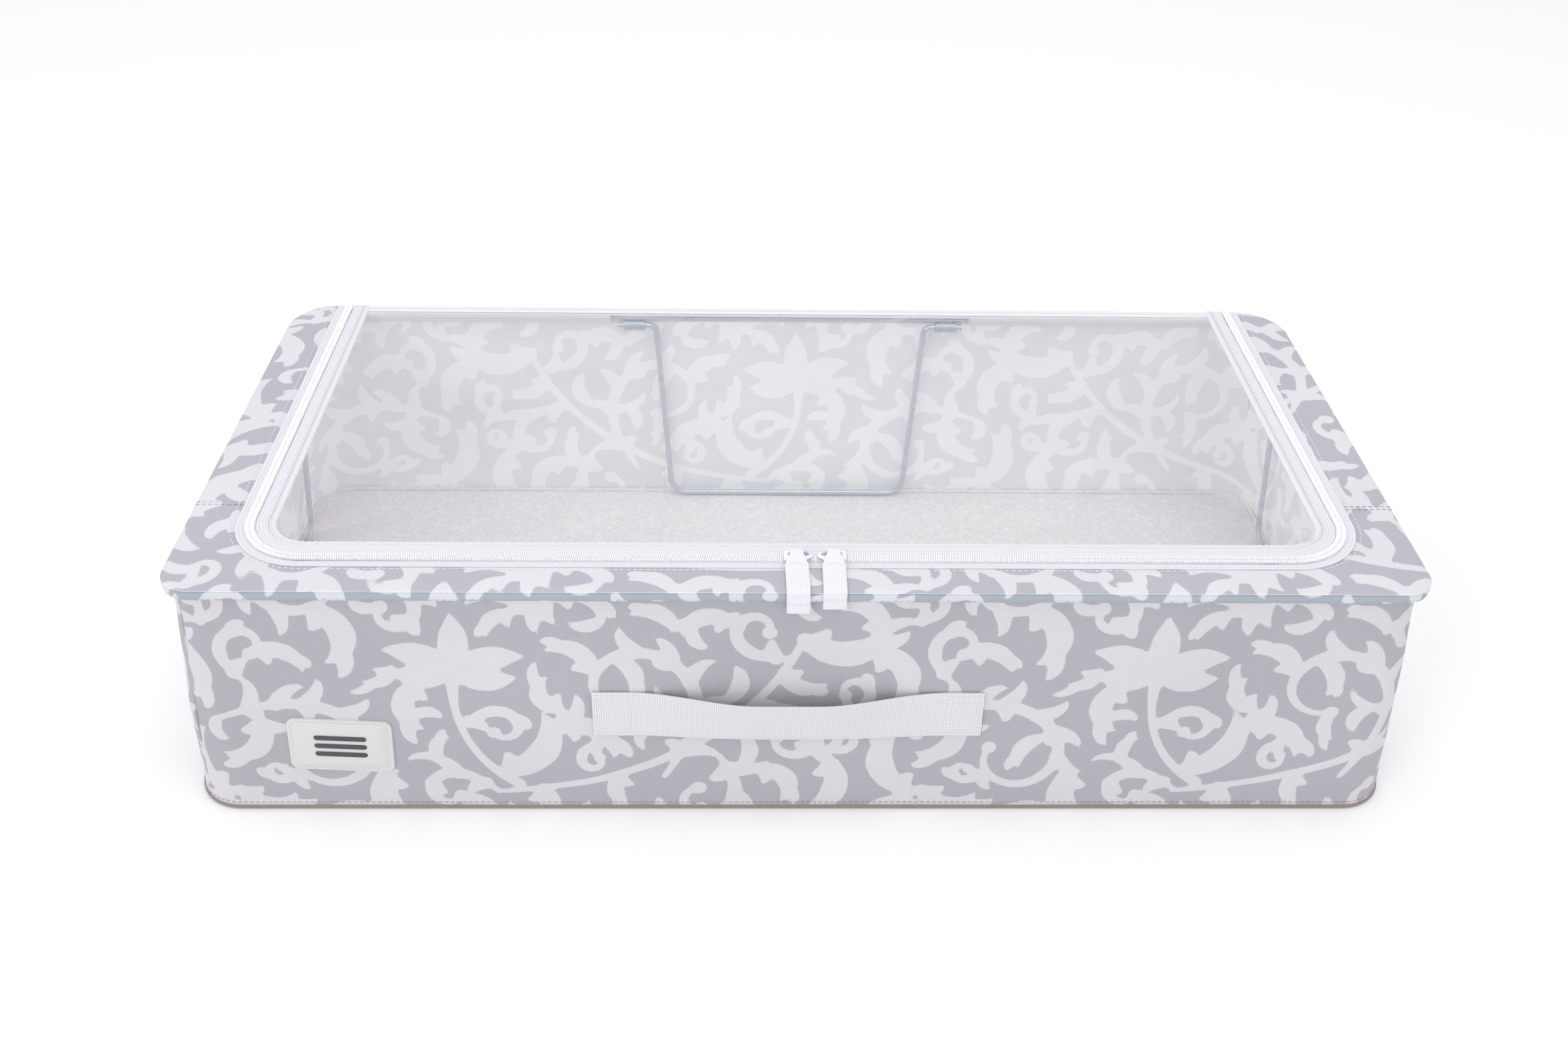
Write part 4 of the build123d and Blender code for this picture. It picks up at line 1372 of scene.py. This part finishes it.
def front_wall(x, up, out=0.0):
    """A point of the front wall's outer face: along it, up it and out of it, in millimetres."""
    foot = np.array([0.0, -BASE_HALF[1], BASE_TOP])
    head = np.array([0.0, -(HEM_HALF[1] - WALL_INSET), HEM_BOTTOM])
    rise = (head - foot) / np.linalg.norm(head - foot)
    away = np.cross((1.0, 0, 0), rise)
    x, up, out = np.broadcast_arrays(*(np.asarray(v, float) for v in (x, up, out)))
    return foot + x[..., None] * (1.0, 0, 0) + up[..., None] * rise + out[..., None] * away


def up_wall(z):
    """How far up the front wall's face a height is."""
    lean = (BASE_HALF[1] - HEM_HALF[1] + WALL_INSET) / (HEM_BOTTOM - BASE_TOP)
    return (z - BASE_TOP) * math.hypot(1, lean)


class BOX_OT_handle(bpy.types.Operator):
    """Make the webbing handle, sewn flat at both ends and slack between"""

    bl_idname = "box.handle"
    bl_label = "Handle"

    def execute(self, context):
        low, high = span("handle_strap")
        middle, half = (low[0] + high[0]) / 2, (high[0] - low[0]) / 2
        up = up_wall((low[2] + high[2]) / 2)
        width, sewn, bow, droop = 32.0, 24.0, 6.5, 1.2
        a = np.linspace(-half, half, 150)
        free = half - sewn
        t = np.clip((free - np.abs(a)) / 70.0, 0, 1)
        stand = bow * t * t * (3 - 2 * t)
        sag = -droop * np.clip(1 - (a / free) ** 2, 0, 1)
        line = front_wall(middle + a, up + sag, stand + 1.0)
        rise, away = front_wall(0, 1) - front_wall(0, 0), front_wall(0, 0, 1) - front_wall(0, 0)
        lean = np.radians(13) * (t * t * (3 - 2 * t))[:, None]  # its top edge falls forward
        across = rise * np.cos(lean) + away * np.sin(lean)
        thick = np.where(np.abs(a) > free - 1, 1.9, 1.3)
        wide = width / 2 * (1 - 0.03 * t)
        piece = ribbon("webbing_handle", line, across, wide, thick, strap_webbing(), columns=13)
        settle(piece, ROOT, "webbing", "handle_strap")
        rows = []
        for sign in (-1, 1):
            for near, far in ((2.0, 21.5), (4.2, 19.3)):
                x0, x1 = middle + sign * (half - near), middle + sign * (half - far)
                y0, y1 = up - 13.8 + (near - 2) * 0.8, up + 13.8 - (near - 2) * 0.8
                box = ((x0, y0), (x1, y0), (x1, y1), (x0, y1), (x0, y0))
                rows.append(flat_line([front_wall(x, y, 2.05) for x, y in box]))
        stitches("handle_stitches", rows, ROOT, "webbing", pitch=3.0)
        return {"FINISHED"}


class BOX_OT_label(bpy.types.Operator):
    """Make the soft moulded patch with its plain raised mark"""

    bl_idname = "box.label"
    bl_label = "Label"

    def execute(self, context):
        low, high = span("label_patch")
        x, tilt = (low[0] + high[0]) / 2, math.radians(-3.0)
        up = up_wall((low[2] + high[2]) / 2) + 1.5
        turn = np.array([[math.cos(tilt), math.sin(tilt)], [-math.sin(tilt), math.cos(tilt)]])

        def place(points):
            flat = points[:, :2] @ turn
            return front_wall(x + flat[:, 0], up + flat[:, 1], points[:, 2])

        wide, tall = 60.0, 38.0
        # A raised edge, a groove for the stitches, then the flat face.
        levels = (
            (0.0, 0.0), (0.0, 0.9), (0.25, 1.35), (0.8, 1.6), (2.1, 1.6),
            (2.5, 1.3), (3.1, 1.3), (3.5, 1.6), (12.0, 1.65),
        )  # fmt: skip
        points, faces = stack(rounded(wide, tall, 5.0), levels)
        piece = mesh_object("moulded_label", place(points), faces, finishes=(soft_vinyl(),), sharp=70)
        settle(piece, ROOT, "label_rubber", "label_patch")
        points, faces = [], []
        for k in (-1, 0, 1):
            some, more = stack(rounded(30.0, 3.2, 1.55) + (0, 6.0 * k), ((0.0, 1.5), (0.0, 1.9), (0.3, 2.1)))
            faces += [tuple(i + len(points) for i in face) for face in more]
            points += some.tolist()
        piece = mesh_object("label_mark", place(np.array(points)), faces, finishes=(dark_vinyl(),))
        settle(piece, ROOT, "label_mark", "label_emblem")
        row = rounded(wide - 5.6, tall - 5.6, 2.6)
        row = np.column_stack([np.concatenate([row, row[:1]]), np.full(len(row) + 1, 1.45)])
        stitches("label_stitches", [flat_line(place(row))], ROOT, "label_rubber", pitch=2.8)
        return {"FINISHED"}


class BOX_OT_stitches(bpy.types.Operator):
    """Sew the seams of the body and the lid"""

    bl_idname = "box.stitches"
    bl_label = "Stitches"

    def execute(self, context):
        def level(plan, inset, z):
            points, normals = plan
            return np.column_stack([points + normals * inset, np.full(len(points), z)])

        hem, out = loop_plan(HEM_HALF, HEM_CORNERS)
        round_hem = np.concatenate([hem, hem[:1]]), np.concatenate([out, out[:1]])
        rows = [level(round_hem, -0.5, HEM_BOTTOM + 2.2)]
        stitches("casing_stitches", rows, ROOT, "printed_cloth", grey_thread())
        edge = opening(ROOT_ZIP_BACK)
        rows = [level(edge, -2.6, RIM_TOP + 0.1), level(edge, 2.0, span("zip_tape_outer")[1][2] + 0.1)]
        stitches("rim_stitches", rows, ROOT, "zip_tape")
        seams = []
        for sign in (-1, 1):
            for back in (2.2, 5.0):
                y = RIM_SEAM - back
                ends = (sign * (HEM_HALF[0] - 1.5), sign * (OPENING_X + 1.0))
                seams.append(flat_line([(x, y, RIM_TOP + 0.5) for x in ends]))
        stitches("rim_seam_stitches", seams, ROOT, "printed_cloth", grey_thread())
        # The rows stop short of the hinge, so no stitch meets the casing when the lid is back.
        lid = opening(LID_BACK - 9.0)
        start, top = inset_of("window_binding"), span("window_binding")[1][2] + 0.15
        low, high = span("window_back_binding")
        places = ((start + 1.0, top - 0.05), (start + 3.5, top - 0.05), (start - 1.6, top - 0.3))
        rows = [level(lid, inset, z) for inset, z in places]
        for y in (low[1] + 1.5, high[1] - 1.5):
            rows.append(flat_line([(low[0] + 2, y, top - 0.4), (high[0] - 2, y, top - 0.4)]))
        stitches("lid_stitches", rows, "lid", "binding_tape")
        base = loop_plan(BASE_HALF, BASE_CORNERS)
        row = level(base, 0.1, 4.6)
        under = level(base, -6.0, -0.05)
        rows = [np.concatenate([r, r[:1]]) for r in (row, under)]
        stitches("base_stitches", rows, ROOT, "base_cloth", grey_thread())
        return {"FINISHED"}


class BOX_OT_wire(bpy.types.Operator):
    """Give the wire frame and the base board their finishes"""

    bl_idname = "box.wire"
    bl_label = "Wire Frame"

    def execute(self, context):
        finishes = {"ring_wire": wire_steel(), "ring_ferrule": sleeve_steel(), "base_board": grey_board()}
        for side in SIDES:
            finishes["leg_" + side] = wire_steel()
            finishes["sleeves_" + side] = sleeve_steel()
        for node, finish in finishes.items():
            mesh = frame["nodes"][node].data
            mesh.materials.clear()
            mesh.materials.append(finish)
        return {"FINISHED"}


class BOX_OT_stage(bpy.types.Operator):
    """Set up the pale floor, the soft lights and the camera"""

    bl_idname = "box.stage"
    bl_label = "Stage"

    def execute(self, context):
        scene, settings = context.scene, context.scene.box_stage
        half, drop = 6.0, -0.0006
        corners = [(x * half, y * half, drop) for x, y in ((-1, -1), (1, -1), (1, 1), (-1, 1))]
        mesh = bpy.data.meshes.new("studio_floor")
        mesh.from_pydata(corners, [], [(0, 1, 2, 3)])
        colour = tuple(settings.floor_colour) + (1.0,)
        mesh.materials.append(material("Matt studio paper", {"Base Color": colour, "Roughness": 0.9}))
        floor = bpy.data.objects.new("studio_floor", mesh)
        scene.collection.objects.link(floor)

        world = bpy.data.worlds.new("White studio")
        world.use_nodes = True
        world.node_tree.nodes["Background"].inputs["Color"].default_value = (1, 1, 1, 1)
        world.node_tree.nodes["Background"].inputs["Strength"].default_value = 0.92
        scene.world = world
        for name, place, aim, size, power in (
            ("Overhead", (0.1, -0.3, 2.2), (0, 0, 0), 1.2, 9.0),
            ("Front left", (-1.5, -1.9, 1.5), (0, 0, 0.1), 1.0, 10.0),
        ):
            light = bpy.data.lights.new(name, "AREA")
            light.size, light.energy = size, power
            lamp = bpy.data.objects.new(name, light)
            lamp.location = place
            toward = np.array(aim) - np.array(place)
            lamp.rotation_euler = Vector(toward).to_track_quat("-Z", "Y").to_euler()
            scene.collection.objects.link(lamp)

        camera = bpy.data.cameras.new("Camera")
        camera.lens, camera.sensor_width = settings.lens, 36.0
        view = bpy.data.objects.new("Camera", camera)
        view.location = (-0.0301, -0.8211, 0.6748)
        yaw, roll = math.radians(-1.67), math.radians(1.21)
        turned = Matrix.Rotation(yaw, 3, "Z") @ Matrix.Rotation(math.radians(90) - settings.tilt, 3, "X")
        view.rotation_euler = (turned @ Matrix.Rotation(roll, 3, "Z")).to_euler()
        scene.collection.objects.link(view)
        scene.camera = view
        scene.view_settings.view_transform = "Standard"
        return {"FINISHED"}


# ---------------------------------------------------------------- panel and registration
STEPS = (
    BOX_OT_casings,
    BOX_OT_walls,
    BOX_OT_rim,
    BOX_OT_zip,
    BOX_OT_window,
    BOX_OT_base,
    BOX_OT_sliders,
    BOX_OT_tabs,
    BOX_OT_handle,
    BOX_OT_label,
    BOX_OT_stitches,
    BOX_OT_wire,
    BOX_OT_stage,
)


class BOX_PT_panel(bpy.types.Panel):
    """Lists the box's settings and the steps that make it"""

    bl_label = "Under Bed Box"
    bl_space_type = "VIEW_3D"
    bl_region_type = "UI"
    bl_category = "Under Bed Box"

    def draw(self, context):
        for name in ("box_cloth", "box_trim", "box_stage"):
            group = getattr(context.scene, name)
            for key in group.bl_rna.properties.keys():
                if key not in ("rna_type", "name"):
                    self.layout.prop(group, key)
        for step in STEPS:
            self.layout.operator(step.bl_idname)


CLASSES = (BoxClothSettings, BoxTrimSettings, BoxStageSettings, *STEPS, BOX_PT_panel)


def register():
    for item in CLASSES:
        bpy.utils.register_class(item)
    bpy.types.Scene.box_cloth = PointerProperty(type=BoxClothSettings)
    bpy.types.Scene.box_trim = PointerProperty(type=BoxTrimSettings)
    bpy.types.Scene.box_stage = PointerProperty(type=BoxStageSettings)


def unregister():
    for name in ("box_cloth", "box_trim", "box_stage"):
        delattr(bpy.types.Scene, name)
    for item in reversed(CLASSES):
        bpy.utils.unregister_class(item)


def main():
    register()
    for step in STEPS:
        group, name = step.bl_idname.split(".")
        getattr(getattr(bpy.ops, group), name)()


if __name__ == "__main__":
    main()
